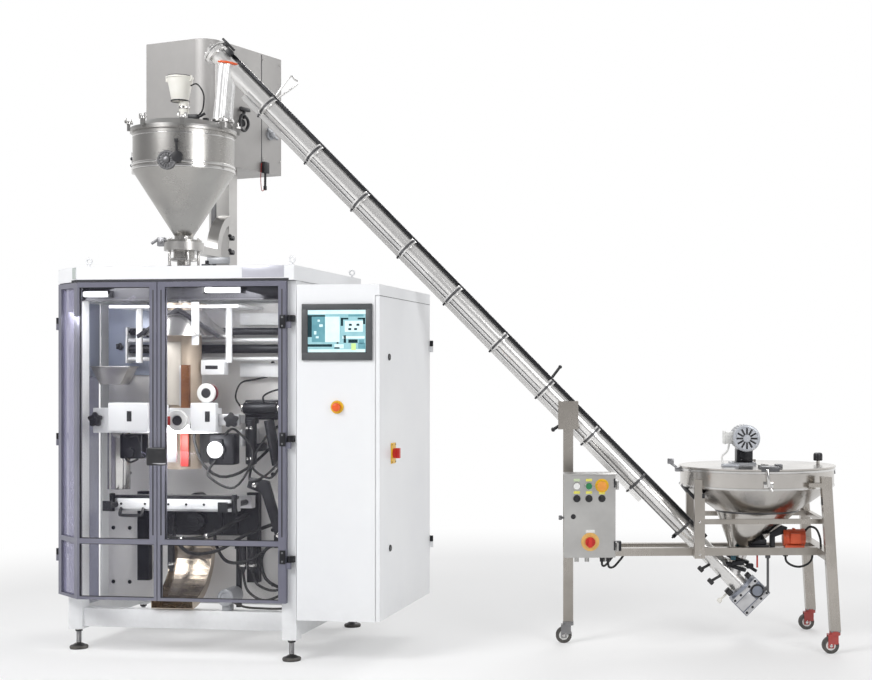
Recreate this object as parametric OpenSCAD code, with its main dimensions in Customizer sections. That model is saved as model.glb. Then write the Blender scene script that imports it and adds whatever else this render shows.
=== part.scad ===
// Vertical form fill sealer with auger filler and inclined screw feeder
// +X runs from the sealer to the feeder, +Y points to the back, +Z is up, all in millimetres
// Sizes are set out from the bag axis, the front door plane and the floor

/* [Sealer frame] */
// Bag axis to the outer face of the left posts
body_left = 565; // [520:1:620]
// Left front post in from the left side
left_post_in = 34; // [0:1:50]
// Bag axis to the outer face of the right posts
body_right = 680; // [650:1:720]
// Front door plane to the back of the rear posts
body_depth = 1020; // [940:1:1150]
// Floor to the top of the header
body_top = 1852; // [1780:1:1950]
// Height of the header over the doors
header_h = 70; // [50:1:100]
// Side of a square post
post_s = 70; // [50:1:90]
// Floor to the bottom of the posts
foot_h = 100; // [70:1:130]
// Width of the slanted left front corner
chamfer_x = 175; // [120:1:220]
// Depth of the slanted left front corner
chamfer_y = 150; // [110:1:190]
// Wall of the sheet metal covers
sheet_t = 4; // [2:0.5:6]
// Back of the sealing chamber behind the door plane
chamber_y = 520; // [490:1:580]

/* [Guard doors] */
// Floor to the bottom of the doors
door_z0 = 276; // [250:1:320]
// Thickness of the door frames
door_t = 28; // [20:1:32]
// Width of a door stile
stile_w = 36; // [25:1:50]
// Width of the left door's stile at its bend
bend_stile_w = 12; // [8:1:24]
// Height of the top and middle rails of a door
rail_h = 24; // [18:1:36]
// Height of the bottom rail of a door
sill_h = 14; // [10:1:24]
// Width of the stiles where the doors meet, below the middle rail
low_stile_w = 14; // [10:1:24]
// Height of the middle rail over the floor
mid_rail_z = 553; // [500:1:640]
// Where the two doors meet, right of the bag axis
door_split = 10; // [-40:1:60]
// Thickness of a pane
pane_t = 6; // [4:0.5:8]

/* [Electrical cabinet] */
// Left side of the cabinet from the bag axis
cab_x0 = 694; // [686:1:740]
// Width of the cabinet
cab_w = 396; // [340:1:460]
// Depth of the cabinet
cab_d = 902; // [820:1:980]
// Floor to the bottom of the cabinet
cab_z0 = 200; // [150:1:260]
// Floor to the top of the cabinet
cab_z1 = 1759; // [1680:1:1840]
// Thickness of the cabinet door
cab_door_t = 19; // [14:1:26]
// Width of the touch panel
panel_w = 336; // [280:1:360]
// Height of the touch panel
panel_h = 261; // [220:1:290]
// Height of the middle of the touch panel over the floor
panel_z = 1538; // [1480:1:1580]
// Height of the emergency stop over the floor
estop_z = 1191; // [1100:1:1260]

/* [Forming and sealing] */
// Bag axis behind the door plane
bag_y = 320; // [300:1:340]
// Outer radius of the forming tube
tube_r = 85; // [70:1:90]
// Wall of the forming tube
tube_wall = 2.5; // [1.5:0.5:4]
// Bottom of the forming tube over the floor
tube_z0 = 880; // [850:1:920]
// Top of the forming tube over the floor
tube_z1 = 1690; // [1675:1:1700]
// Length of a sealing jaw
jaw_l = 640; // [600:1:680]
// Height of a sealing jaw
jaw_h = 60; // [45:1:70]
// Middle of the jaws over the floor
jaw_z = 710; // [690:1:740]
// Open gap between the jaws
jaw_gap = 140; // [120:1:150]
// Radius of a jaw guide rod
rod_r = 14; // [10:1:18]
// Height of a pull belt
belt_h = 240; // [200:1:270]
// Outer radius of the film reel
reel_r = 190; // [150:1:200]
// Width of the film on the reel
reel_w = 520; // [400:1:620]

/* [Auger filler] */
// Inner radius of the filler hopper
hop_r = 238; // [226:1:248]
// Wall of the filler hopper
hop_wall = 3; // [2:0.5:5]
// Seam between cone and cylinder over the floor
hop_seam_z = 2334; // [2290:1:2370]
// Top rim of the hopper over the floor
hop_top_z = 2530; // [2500:1:2570]
// Bottom of the cone over the floor
hop_out_z = 2022; // [1990:1:2060]
// Inner radius of the filling tube
fill_r = 30; // [24:1:36]
// Radius of the auger flight
auger_r = 28; // [20:1:29]
// Width of the drive box
drive_w = 417; // [380:1:440]
// Depth of the drive box
drive_d = 601; // [560:1:640]
// Underside of the drive box over the floor
drive_z0 = 2446; // [2400:1:2500]
// Top of the drive box over the floor
drive_z1 = 3092; // [3000:1:3150]
// Turn of the drive box seen from above
drive_turn = -17; // [-25:1:-8]

/* [Screw feeder] */
// Turn of the feeder seen from above
feeder_turn = 10; // [4:1:12]
// Slope of the feeder tube
feeder_slope = 45.5; // [44:0.5:47]
// Outer radius of the feeder tube
pipe_r = 44; // [38:1:50]
// Wall of the feeder tube
pipe_wall = 3; // [2:0.5:5]
// Height of the tube's inlet over the floor
inlet_z = 325; // [310:1:340]
// Height of the tube's upper end over the floor
pipe_top_z = 2930; // [2900:1:2960]
// Pitch of the feeder screw
screw_pitch = 120; // [90:1:150]

/* [Feeder cart] */
// Outer radius of the cart hopper
bin_r = 385; // [350:1:400]
// Rim of the cart hopper over the floor
bin_z1 = 880; // [860:1:910]
// Height of the straight band below the rim
bin_band = 95; // [80:1:110]
// Middle of the cart hopper beyond the tube's inlet
bin_run = 129; // [110:1:145]
// Tube support post to the middle of the cart hopper
post_run = 949; // [915:1:990]
// Middle of the cart hopper to the right legs
leg_run = 331; // [318:1:365]
// Half of the distance between the right legs
leg_v = 330; // [310:1:350]
// Lean of the right legs towards the cart hopper
leg_lean = 45; // [0:1:60]
// Side of a square cart tube
cart_s = 50; // [40:1:58]
// Top of the cart beams over the floor
beam_z = 485; // [475:1:495]
// Height of a cart beam
beam_h = 38; // [30:1:45]
// Height of a caster
caster_h = 110; // [100:1:130]
// Radius of a caster wheel
wheel_r = 40; // [32:1:44]
// Width of the control box
ctrl_w = 246; // [220:1:270]
// Height of the control box
ctrl_h = 395; // [360:1:420]
// Depth of the control box
ctrl_d = 150; // [120:1:170]

/* [Hidden] */
$fn = 48;

// Gap between pieces that move past each other
gap = 2;
// Gap between pieces that only pass near each other
air = 0.5;
// Radial clearance of a pin or shaft in its bore
fit = 0.05;
// Overlap that joins two shapes of one piece, or runs a cut past a face
eps = 1;

header_z0 = body_top - header_h;
frame_top = header_z0 - gap;
rail_s = post_s - 10;
base_z0 = foot_h + 12;
base_z1 = foot_h + 100;
top_rail_z = frame_top - 78;
left_post_y = chamfer_y + 35;
right_post_y = door_t + 4;
front_rail_y = 165;
left_in = -body_left + post_s;
left_post_x = -body_left + left_post_in;
right_in = body_right - post_s;
rear_y = body_depth - post_s;

door_z1 = header_z0 - 4;
corner_x = -body_left + chamfer_x;
chamfer_l = sqrt(chamfer_x * chamfer_x + chamfer_y * chamfer_y);
chamfer_a = atan2(chamfer_y, -chamfer_x);
inner_run = door_t * (1 - chamfer_x / chamfer_l) * chamfer_l / chamfer_y;
right_door_x1 = body_right - 40;
right_pin = [body_right - 25, 10];
left_pin = [-body_left - 9, chamfer_y + 13];
pin_r = 4;
knuckle_r = 9;
knuckle_h = 30;
hinge_zs = [door_z0 + 190, (door_z0 + door_z1) / 2, door_z1 - 190];
latch_x = door_split - 20;
latch_z = 956;
latch_shaft_r = 8;

cab_x1 = cab_x0 + cab_w;
cab_skin_x = cab_x1 - cab_door_t - gap;
panel_x = cab_x0 + cab_w / 2 - 3;
cab_pin = [cab_x1 + 7, cab_d + 5];
cab_hinge_zs = [cab_z0 + 270, cab_z1 - 270];
cab_door_z1 = cab_z1 - 54;
switch_y = 220;
switch_z = 968;

tube_front = bag_y - tube_r;
belt_x = tube_r + 12;
belt_w = 62;
belt_z0 = tube_z0 + 30;
rod_x = jaw_l / 2 - 30;
jaw_d = 50;
roller_z = 1470;
roller_y = chamber_y - 70;
roller_l = 620;
reel_y = 760;
reel_z = 620;

feeder_x = 60;
feeder_y = 370;
pipe_u0 = 85;
pipe_dir = [cos(feeder_slope), -sin(feeder_slope)];
inlet_s = (pipe_top_z - inlet_z) / sin(feeder_slope);
inlet_u = pipe_u0 + inlet_s * pipe_dir[0];
pipe_l = inlet_s + 62;
bin_u = inlet_u + bin_run;
post_u = bin_u - post_run;
leg_u = bin_u + leg_run;
vibrator_u = leg_u - 208;
neck_r = 40;
neck_run = 42;
bin_band_z = bin_z1 - bin_band;
bin_mid_r = 205;
bin_mid_z = bin_band_z - 125;
bin_out_z = 440;
beam_v = 100;
riser_v = 150;
ctrl_u = post_u - 22;
ctrl_v = -riser_v - cart_s / 2 - ctrl_d;
ctrl_z = 465;
ctrl_door_t = 18;
reel_pin_r = 19;

estop_stem_r = 11;
estop_travel = 5;
collar_t = 6;
plate_t = 4;
switch_shaft_r = 8;
shoulder_z0 = 1530;
shoulder_h = 125;
shoulder_r = 190;
column_x = 232;
roller_x0 = -340;
roller_x1 = 460;
journal_r = 8;
beam_x0 = 386;
beam_x1 = 248;
beam_y = tube_front - 40;
beam_z0 = 1060;
sealer_x = 60;
sealer_pin_zs = [beam_z0 + 30, beam_z0 + 90];
sealer_pin_r = 8;
belt_mid_z = belt_z0 + belt_h / 2;
pulley_pin_r = 8;
piston_r = 10;

drive_round = 90;
ring_z = 1950;
flange_z = 1990;
neck_out_r = 50;
fill_z0 = 1500;
rim_z = hop_top_z + 10;
lid_z = rim_z + 34;
lid_r = hop_r - 6;
yoke_r = 215;
yoke_t = 45;
shaft_r = 12;
spout_r = 36;
spout_u = 112;
spout_x = feeder_x + spout_u * cos(feeder_turn);
spout_y = feeder_y + spout_u * sin(feeder_turn);
spout_z = pipe_top_z - (spout_u - pipe_u0) * tan(feeder_slope);

screw_shaft_r = 12;
gear_w = 166;
collar_n = 8;
collar_s0 = 360;
collar_step = 327;
saddle_z = pipe_top_z - (post_u - pipe_u0) * tan(feeder_slope) - 60;
stand_u = bin_u - 312;
stand_v = 215;
leg_z1 = bin_z1 - 30;
rack_z = 612;
rack_s = 24;
caster_at = [[post_u, 0], [leg_u, -leg_v], [leg_u, leg_v]];
kingpin_r = 8;
wheel_w = 30;
trail = 22;
axle_r = 6;
flap_z = bin_z1 + 18;
flap_vs = [-250, 190];
ctrl_pin = [ctrl_u + ctrl_w + 8, ctrl_v + 8];
ctrl_hinge_zs = [ctrl_z + 50, ctrl_z + ctrl_h - 50];
ctrl_stem_r = 8;
start_at = [ctrl_u + 60, ctrl_z + ctrl_h - 52];
stop_at = [ctrl_u + 118, ctrl_z + ctrl_h - 52];
stop_head_at = [ctrl_u + 180, ctrl_z + ctrl_h - 50];
mode_at = [ctrl_u + 60, ctrl_z + ctrl_h - 112];
mains_at = [ctrl_u + 124, ctrl_z + 76];

// Front right corner of the drive box from the bag axis and the door plane
drive_x = -31;
drive_y = 689;
// Reach of the turned feeder and drive box, and of the latch, which bound the footprint
feeder_end = feeder_x + (leg_u + cart_s / 2) * cos(feeder_turn) + (leg_v + cart_s / 2) * sin(feeder_turn);
drive_end = drive_y - drive_w * sin(drive_turn) + drive_d * cos(drive_turn);
latch_front = 44;
// Middle of the footprint, measured from the bag axis and the door plane
origin_x = (feeder_end - body_left - 2 * knuckle_r) / 2;
origin_y = (drive_end - latch_front) / 2;

// Box between two corners
module blk(x0, x1, y0, y1, z0, z1) {
    translate([x0, y0, z0])
        cube([x1 - x0, y1 - y0, z1 - z0]);
}

// Round bar along one axis
module bar_x(y, z, x0, x1, r) {
    translate([x0, y, z])
        rotate([0, 90, 0])
            cylinder(r = r, h = x1 - x0);
}

module bar_y(x, z, y0, y1, r) {
    translate([x, y0, z])
        rotate([-90, 0, 0])
            cylinder(r = r, h = y1 - y0);
}

module bar_z(x, y, z0, z1, r) {
    translate([x, y, z0])
        cylinder(r = r, h = z1 - z0);
}

// Everything is set out from the bag axis, then moved to the middle of the footprint
module place() {
    translate([-origin_x, -origin_y, 0])
        children();
}

// Feeder frame: first axis away from the filler, second to the back
module feeder() {
    place()
        translate([feeder_x, feeder_y, 0])
            rotate([0, 0, feeder_turn])
                children();
}

// Down the feeder tube: third axis runs from the upper end to the lower end
module along_pipe() {
    feeder()
        translate([pipe_u0, 0, pipe_top_z])
            rotate([0, 90 + feeder_slope, 0])
                children();
}

// One turn of the drive box and what sits on it
module drive_place() {
    place()
        translate([drive_x, drive_y, 0])
            rotate([0, 0, drive_turn])
                children();
}

// Welded frame of square posts and rails
module main_frame() {
    color("white")
        place() {
            blk(left_post_x, left_post_x + post_s, left_post_y, left_post_y + post_s, foot_h, frame_top);
            blk(right_in, body_right, right_post_y, right_post_y + post_s, foot_h, frame_top);
            for (x = [-body_left, right_in])
                blk(x, x + post_s, rear_y, body_depth, foot_h, frame_top);
            for (z = [[base_z0, base_z1], [top_rail_z, frame_top]]) {
                blk(-body_left + 5, left_in - 5, left_post_y + post_s - 5, rear_y + eps, z[0], z[1]);
                blk(right_in + 5, body_right - 5, right_post_y + 10, rear_y + eps, z[0], z[1]);
                blk(left_in - 10, right_in + 10, front_rail_y + 35, front_rail_y + 35 + rail_s, z[0], z[1]);
                blk(left_in - eps, right_in + eps, rear_y + 5, rear_y + 5 + rail_s, z[0], z[1]);
            }
            // Film reel bearers
            for (x = [-reel_w / 2 - 70, reel_w / 2 + 30]) {
                blk(x, x + 40, reel_y - 30, rear_y + 10, reel_z - 20, reel_z - reel_pin_r - air);
                blk(x, x + 40, rear_y - 40, rear_y + 10, base_z0 + 10, reel_z - 20 + eps);
            }
            blk(-reel_w / 2 - 70, reel_w / 2 + 70, rear_y - 40, rear_y + 10, base_z0 + 10, base_z1);
            // Spacers that carry the cabinet
            for (z = [cab_z0 + 220, cab_z0 + 820, cab_z1 - 199])
                blk(body_right - eps, cab_x0, right_post_y + 10, right_post_y + 60, z, z + 60);
        }
}

// Four screw feet with round pads
module levelling_feet() {
    half = post_s / 2;
    color("dimgray")
        place()
            for (p = [[left_post_x + half, left_post_y + half], [body_right - half, right_post_y + half],
                      [-body_left + half, rear_y + half], [body_right - half, rear_y + half]])
                translate([p[0], p[1], 0]) {
                    cylinder(r = 42, h = 12);
                    translate([0, 0, 12])
                        cylinder(r1 = 42, r2 = 18, h = 14);
                    cylinder(r = 11, h = foot_h);
                    translate([0, 0, foot_h - 14])
                        cylinder(r = 19, h = 14, $fn = 6);
                }
}

// Plan of the header, drawn in by the given amount
function header_plan(inset) = [
    [corner_x + inset / 2, inset], [body_right - inset, inset], [body_right - inset, body_depth - inset],
    [-body_left + inset, body_depth - inset], [-body_left + inset, chamfer_y + inset / 2]];

// Header with roof, rear skins and lifting eyes
module body_panels() {
    color("whitesmoke")
        place() {
            difference() {
                translate([0, 0, header_z0])
                    linear_extrude(header_h)
                        polygon(header_plan(0));
                translate([0, 0, header_z0 - eps])
                    linear_extrude(header_h - sheet_t + eps)
                        polygon(header_plan(sheet_t));
                bar_z(0, bag_y, header_z0, body_top + eps, fill_r + 30);
            }
            blk(-body_left + 20, -body_left + 20 + sheet_t, chamber_y + 12, rear_y, base_z1, top_rail_z);
            blk(left_in, right_in, rear_y + 30, rear_y + 30 + sheet_t, 1000, top_rail_z);
            for (p = [[corner_x + 30, 60], [body_right - 30, 60], [body_right - 30, body_depth - 60],
                      [-body_left + 60, body_depth - 60]])
                translate([p[0], p[1], body_top]) {
                    cylinder(r = 13, h = 6);
                    cylinder(r = 5, h = 18);
                    translate([0, 0, 30])
                        rotate([90, 0, 0])
                            rotate_extrude()
                                translate([13, 0])
                                    circle(r = 4.5);
                }
        }
}

// Rear wall and right wall of the sealing chamber
module back_plate() {
    color("gainsboro")
        place() {
            difference() {
                blk(left_in + gap, right_in - gap, chamber_y, chamber_y + 10,
                    base_z1 + gap, top_rail_z - gap);
                bar_y(0, jaw_z, chamber_y - eps, chamber_y + 10 + eps, piston_r + fit);
            }
            blk(right_in - 10, right_in - gap, right_post_y + post_s + 10, chamber_y + eps,
                base_z1 + gap, top_rail_z - gap);
        }
}

// Tinted pane in the left side of the chamber
module side_window() {
    color("slateblue", 0.5)
        place()
            blk(-body_left + 8, -body_left + 8 + pane_t, left_post_y + post_s + gap, chamber_y + 8,
                base_z1 + gap, top_rail_z - gap);
}

// Fixed halves of the hinges with their pins
module door_hinges() {
    color("black")
        place() {
            for (z = hinge_zs) {
                bar_z(right_pin[0], right_pin[1], z + air, z + knuckle_h, knuckle_r);
                bar_z(right_pin[0], right_pin[1], z - knuckle_h, z + knuckle_h / 2, pin_r);
                blk(right_pin[0], right_pin[0] + 20, right_pin[1] - 2, right_post_y, z + air, z + knuckle_h);
                bar_z(left_pin[0], left_pin[1], z + air, z + knuckle_h, knuckle_r);
                bar_z(left_pin[0], left_pin[1], z - knuckle_h, z + knuckle_h / 2, pin_r);
                blk(-body_left - 7, -body_left, left_pin[1] + 2, left_post_y + 30, z + air, z + knuckle_h);
                blk(-body_left - eps, left_post_x, left_post_y + 6, left_post_y + 30, z + air, z + knuckle_h);
            }
            for (z = cab_hinge_zs) {
                bar_z(cab_pin[0], cab_pin[1], z + air, z + knuckle_h, knuckle_r);
                bar_z(cab_pin[0], cab_pin[1], z - knuckle_h, z + knuckle_h / 2, pin_r);
                blk(cab_skin_x - 30, cab_pin[0], cab_d, cab_d + 9, z + air, z + knuckle_h);
            }
        }
}

// Windows of a door below and above its middle rail: bottom, top and stile where the doors meet
door_windows = [[door_z0 + sill_h, mid_rail_z - rail_h / 2, low_stile_w],
                [mid_rail_z + rail_h / 2, door_z1 - rail_h, stile_w]];

// Door half of a hinge, bored for the pin
module door_knuckles(pin, x0, x1, y0, y1) {
    for (z = hinge_zs)
        difference() {
            union() {
                bar_z(pin[0], pin[1], z - knuckle_h, z - air, knuckle_r);
                blk(x0, x1, y0, y1, z - knuckle_h, z - air);
            }
            bar_z(pin[0], pin[1], z - knuckle_h - eps, z + eps, pin_r + fit);
        }
}

module right_door_frame() {
    x0 = door_split + gap;
    color("slategray")
        place() {
            difference() {
                blk(x0, right_door_x1, 0, door_t, door_z0, door_z1);
                for (w = door_windows)
                    blk(x0 + w[2], right_door_x1 - stile_w, -eps, door_t + eps, w[0], w[1]);
            }
            door_knuckles(right_pin, right_door_x1 - eps, right_pin[0], 4, 14);
        }
}

module right_door_panes() {
    x0 = door_split + gap;
    y0 = (door_t - pane_t) / 2;
    color("lavender", 0.3)
        place()
            for (w = door_windows)
                blk(x0 + w[2], right_door_x1 - stile_w, y0, y0 + pane_t, w[0], w[1]);
}

// Chamfer frame: first axis along the slanted face from the front corner, second axis outwards
module on_chamfer() {
    translate([corner_x, 0, 0])
        rotate([0, 0, chamfer_a])
            children();
}

// Left door with its slanted end, bent from one profile
module left_door_frame() {
    n = [chamfer_y / chamfer_l * door_t, chamfer_x / chamfer_l * door_t];
    color("slategray")
        place() {
            difference() {
                translate([0, 0, door_z0])
                    linear_extrude(door_z1 - door_z0)
                        polygon([[door_split - gap, 0], [corner_x, 0], [-body_left, chamfer_y],
                                 [-body_left + n[0], chamfer_y + n[1]],
                                 [corner_x + n[0] - inner_run * chamfer_x / chamfer_l, door_t],
                                 [door_split - gap, door_t]]);
                for (w = door_windows) {
                    blk(corner_x + bend_stile_w, door_split - gap - w[2], -eps, door_t + eps, w[0], w[1]);
                    on_chamfer()
                        blk(stile_w, chamfer_l - stile_w, -door_t - eps, eps, w[0], w[1]);
                }
                bar_y(latch_x, latch_z, -eps, 14, latch_shaft_r + fit);
            }
            door_knuckles(left_pin, left_pin[0], -body_left + 14, chamfer_y + 4, chamfer_y + 16);
        }
}

module left_door_panes() {
    y0 = (door_t - pane_t) / 2;
    color("mediumpurple", 0.4)
        place()
            for (w = door_windows) {
                blk(corner_x + bend_stile_w, door_split - gap - w[2], y0, y0 + pane_t, w[0], w[1]);
                on_chamfer()
                    blk(stile_w, chamfer_l - stile_w, -y0 - pane_t, -y0, w[0], w[1]);
            }
}

// Turning handle that holds the doors shut
module door_latch() {
    color("black")
        place() {
            bar_y(latch_x, latch_z, -30, 14 - gap, latch_shaft_r);
            bar_y(latch_x, latch_z, -30, -air, 18);
            blk(latch_x - 14, latch_x + 84, -latch_front, 16 - latch_front, latch_z - 40, latch_z + 44);
        }
}

// Electrical cabinet, open on its right side
module cabinet_shell() {
    color("white")
        place()
            difference() {
                blk(cab_x0, cab_skin_x, 0, cab_d, cab_z0, cab_z1);
                blk(cab_x0 + sheet_t, cab_skin_x + eps, sheet_t, cab_d - sheet_t,
                    cab_z0 + sheet_t, cab_z1 - sheet_t);
                bar_y(panel_x, estop_z, -eps, sheet_t + eps, estop_stem_r + air);
            }
    color("white")
        place()
            blk(cab_skin_x - sheet_t, cab_x1, 0, cab_d, cab_door_z1 + gap, cab_z1);
}

// Side door of the cabinet with its hinge lugs and the raised plate of the main switch
module cabinet_door() {
    color("white")
        place() {
            difference() {
                union() {
                    difference() {
                        blk(cab_skin_x + gap, cab_x1, gap, cab_d - gap, cab_z0 + gap, cab_door_z1);
                        blk(cab_skin_x, cab_x1 - sheet_t, 30, cab_d - 30, cab_z0 + 30, cab_door_z1 - 30);
                    }
                    bar_x(switch_y, switch_z, cab_skin_x + gap, cab_x1, 30);
                    blk(cab_x1 - eps, cab_x1 + plate_t, switch_y - 34, switch_y + 34,
                        switch_z - 46, switch_z + 46);
                }
                bar_x(switch_y, switch_z, cab_x1 - 12, cab_x1 + plate_t + eps, switch_shaft_r + fit);
            }
            for (z = cab_hinge_zs)
                difference() {
                    union() {
                        bar_z(cab_pin[0], cab_pin[1], z - knuckle_h, z - air, knuckle_r);
                        blk(cab_x1 - 6, cab_pin[0], cab_d - 12, cab_pin[1], z - knuckle_h, z - air);
                    }
                    bar_z(cab_pin[0], cab_pin[1], z - knuckle_h - eps, z + eps, pin_r + fit);
                }
        }
}

// Turning handle of the main switch
module main_switch() {
    x0 = cab_x1 + plate_t + air;
    color("red")
        place() {
            bar_x(switch_y, switch_z, cab_x1 - 10, x0 + 4, switch_shaft_r);
            bar_x(switch_y, switch_z, x0, x0 + 12, 24);
            blk(x0 + 12 - eps, x0 + 30, switch_y - 9, switch_y + 9, switch_z - 24, switch_z + 24);
        }
}

// Operator panel with a sunk screen
module touch_panel() {
    color("dimgray")
        place()
            difference() {
                blk(panel_x - panel_w / 2, panel_x + panel_w / 2, -12, 0,
                    panel_z - panel_h / 2, panel_z + panel_h / 2);
                blk(panel_x - panel_w / 2 + 29, panel_x + panel_w / 2 - 29, -12 - eps, -9,
                    panel_z - panel_h / 2 + 37, panel_z + panel_h / 2 - 28);
            }
}

module estop_collar() {
    color("gold")
        place()
            difference() {
                bar_y(panel_x, estop_z, -collar_t, 0, 30);
                bar_y(panel_x, estop_z, -collar_t - eps, eps, estop_stem_r + fit);
            }
}

// Mushroom head on a stem, pushed towards the cabinet
module estop_button() {
    color("orangered")
        place() {
            bar_y(panel_x, estop_z, -collar_t - 8, -eps, estop_stem_r);
            bar_y(panel_x, estop_z, -collar_t - 24, -collar_t - estop_travel - air, 20);
        }
}

// Tube that the film is formed around, hung by its flange
module forming_tube() {
    color("tan")
        place()
            difference() {
                union() {
                    bar_z(0, bag_y, tube_z0, tube_z1, tube_r);
                    bar_z(0, bag_y, tube_z1 - 12, tube_z1, tube_r + 25);
                }
                bar_z(0, bag_y, tube_z0 - eps, tube_z1 + eps, tube_r - tube_wall);
            }
}

// Conical collar that turns the film round the tube, on a bracket from the rear wall
module forming_shoulder() {
    color("silver")
        place() {
            difference() {
                union() {
                    translate([0, bag_y, shoulder_z0])
                        cylinder(r1 = shoulder_r, r2 = tube_r + 12, h = shoulder_h);
                    blk(-20, 20, bag_y + shoulder_r - 40, chamber_y, shoulder_z0, shoulder_z0 + 24);
                }
                translate([0, bag_y, shoulder_z0 - eps])
                    cylinder(r1 = shoulder_r - 3, r2 = tube_r + 9, h = shoulder_h);
                bar_z(0, bag_y, shoulder_z0 - eps, shoulder_z0 + shoulder_h + eps, tube_r + 8);
            }
        }
}

// Carrier of the forming set: top plate, columns, turn bars, front beam and its arms
module film_frame() {
    color("gainsboro")
        place()
            difference() {
                union() {
                    blk(-330, 330, bag_y - 120, chamber_y, tube_z1 - 24, tube_z1 - 12);
                    for (x = [-column_x, column_x])
                        bar_z(x, bag_y, roller_z - 70, tube_z1 - 24 + eps, 16);
                    for (x = [roller_x0 - 14, roller_x1 + 6])
                        blk(x, x + 8, roller_y - 30, chamber_y, roller_z - 70, roller_z + 58);
                    for (z = [roller_z - 50, roller_z + 44])
                        bar_x(roller_y - 8, z, roller_x0 - 10, roller_x1 + 10, 10);
                    blk(-beam_x0, beam_x1, beam_y - 45, beam_y, beam_z0, beam_z0 + 120);
                    for (x = [-beam_x0 + 4, beam_x1 - 44])
                        blk(x, x + 40, beam_y - eps, chamber_y, beam_z0 + 40, beam_z0 + 80);
                    for (s = [-1, 1]) {
                        blk(s * 300 - 6, s * 300 + 6, bag_y - 20, chamber_y,
                            belt_mid_z - 40, belt_mid_z + 40);
                        bar_x(bag_y, belt_mid_z, s > 0 ? belt_x + 16 : -300, s > 0 ? 300 : -belt_x - 16, 9);
                    }
                }
                bar_z(0, bag_y, tube_z1 - 30, tube_z1, tube_r + air);
                for (x = [roller_x0 - 14, roller_x1 + 6])
                    bar_x(roller_y, roller_z, x - eps, x + 8 + eps, journal_r + fit);
                for (z = sealer_pin_zs)
                    bar_y(sealer_x, z, beam_y - 45 - eps, beam_y + eps, sealer_pin_r + fit);
            }
}

// Free film roller on its journals
module film_roller() {
    color("black")
        place() {
            bar_x(roller_y, roller_z, roller_x0, roller_x1, 22);
            bar_x(roller_y, roller_z, roller_x0 - 14, roller_x1 + 14, journal_r);
        }
}

// Heated bar that seals the back of the bag, on two guide pins
module vertical_sealer() {
    color("sienna")
        place() {
            blk(sealer_x - 20, sealer_x + 20, beam_y + gap, beam_y + 22, tube_z0 + 16, beam_z0 + 328);
            for (z = sealer_pin_zs)
                bar_y(sealer_x, z, beam_y - 70, beam_y + gap + eps, sealer_pin_r);
        }
}

// Toothed belt loop with its guide bore, on the side given by s
module pull_belt(s) {
    mid = s * (belt_x + belt_w / 2);
    r = belt_w / 2;
    color("black")
        place()
            difference() {
                union() {
                    bar_y(mid, belt_z0 + r, bag_y - 35, bag_y + 35, r);
                    bar_y(mid, belt_z0 + belt_h - r, bag_y - 35, bag_y + 35, r);
                    blk(mid - r, mid + r, bag_y - 35, bag_y + 35, belt_z0 + r, belt_z0 + belt_h - r);
                }
                bar_x(bag_y, belt_mid_z, s > 0 ? belt_x + 3 : -belt_x - belt_w - eps,
                      s > 0 ? belt_x + belt_w + eps : -belt_x - 3, 9 + fit);
                bar_y(mid, belt_z0 + belt_h - r, bag_y - 36, bag_y + 10, pulley_pin_r + fit);
            }
}

module left_pull_belt() {
    pull_belt(-1);
}

module right_pull_belt() {
    pull_belt(1);
}

// Flanged drive pulley in front of a belt
module pulley(s) {
    mid = s * (belt_x + belt_w / 2);
    z = belt_z0 + belt_h - belt_w / 2;
    color("gainsboro")
        place() {
            bar_y(mid, z, bag_y - 58, bag_y - 35 - gap, 24);
            bar_y(mid, z, bag_y - 62, bag_y - 57, 32);
            bar_y(mid, z, bag_y - 40, bag_y + 8, pulley_pin_r);
        }
}

module left_pulley() {
    pulley(-1);
}

module right_pulley() {
    pulley(1);
}

// Guide rods, end caps, cylinder and black columns of the cross sealer
module jaw_carriage() {
    color("black")
        place() {
            for (s = [-1, 1]) {
                bar_y(s * rod_x, jaw_z, 98, chamber_y, rod_r);
                blk(s * rod_x - 22, s * rod_x + 22, 98, 112, jaw_z - 24, jaw_z + 24);
                blk(s * rod_x - 30, s * rod_x + 30, chamber_y - 40, chamber_y, 300, jaw_z + 40);
            }
            difference() {
                bar_y(0, jaw_z, chamber_y - 60, chamber_y, 38);
                bar_y(0, jaw_z, chamber_y - 61, chamber_y + eps, piston_r + fit);
            }
        }
}

// Heated bar with its two guide bores
module jaw_bar(y0) {
    difference() {
        blk(-jaw_l / 2, jaw_l / 2, y0, y0 + jaw_d, jaw_z - jaw_h / 2, jaw_z + jaw_h / 2);
        for (s = [-1, 1])
            bar_y(s * rod_x, jaw_z, y0 - eps, y0 + jaw_d + eps, rod_r + fit);
    }
}

module front_jaw() {
    color("gainsboro")
        place()
            jaw_bar(bag_y - jaw_gap / 2 - jaw_d);
}

module rear_jaw() {
    y0 = bag_y + jaw_gap / 2;
    color("gainsboro")
        place() {
            jaw_bar(y0);
            bar_y(0, jaw_z, y0 + jaw_d - eps, chamber_y + 40, piston_r);
        }
}

// Points of an arc in the upright plane that runs front to back
function arc(c, r, a0, a1, n) =
    [for (i = [0 : n]) c + r * [cos(a0 + (a1 - a0) * i / n), sin(a0 + (a1 - a0) * i / n)]];

// Upright front to back profile, drawn out along X
module profile_x(x0, x1, points) {
    translate([x0, 0, 0])
        rotate([90, 0, 90])
            linear_extrude(x1 - x0)
                polygon(points);
}

// Curved slide for the finished bags, with side lips and a bracket
module discharge_chute() {
    c = [150, 500];
    color("burlywood")
        place() {
            profile_x(-100, 110, concat(arc(c, 290, 0, -85, 16), arc(c, 287, -85, 0, 16)));
            for (x = [-102, 109])
                profile_x(x, x + 3, concat(arc(c, 290, 0, -85, 16), arc(c, 250, -85, 0, 16)));
            blk(-60, 70, 438, chamber_y, 490, 499);
        }
}

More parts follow.
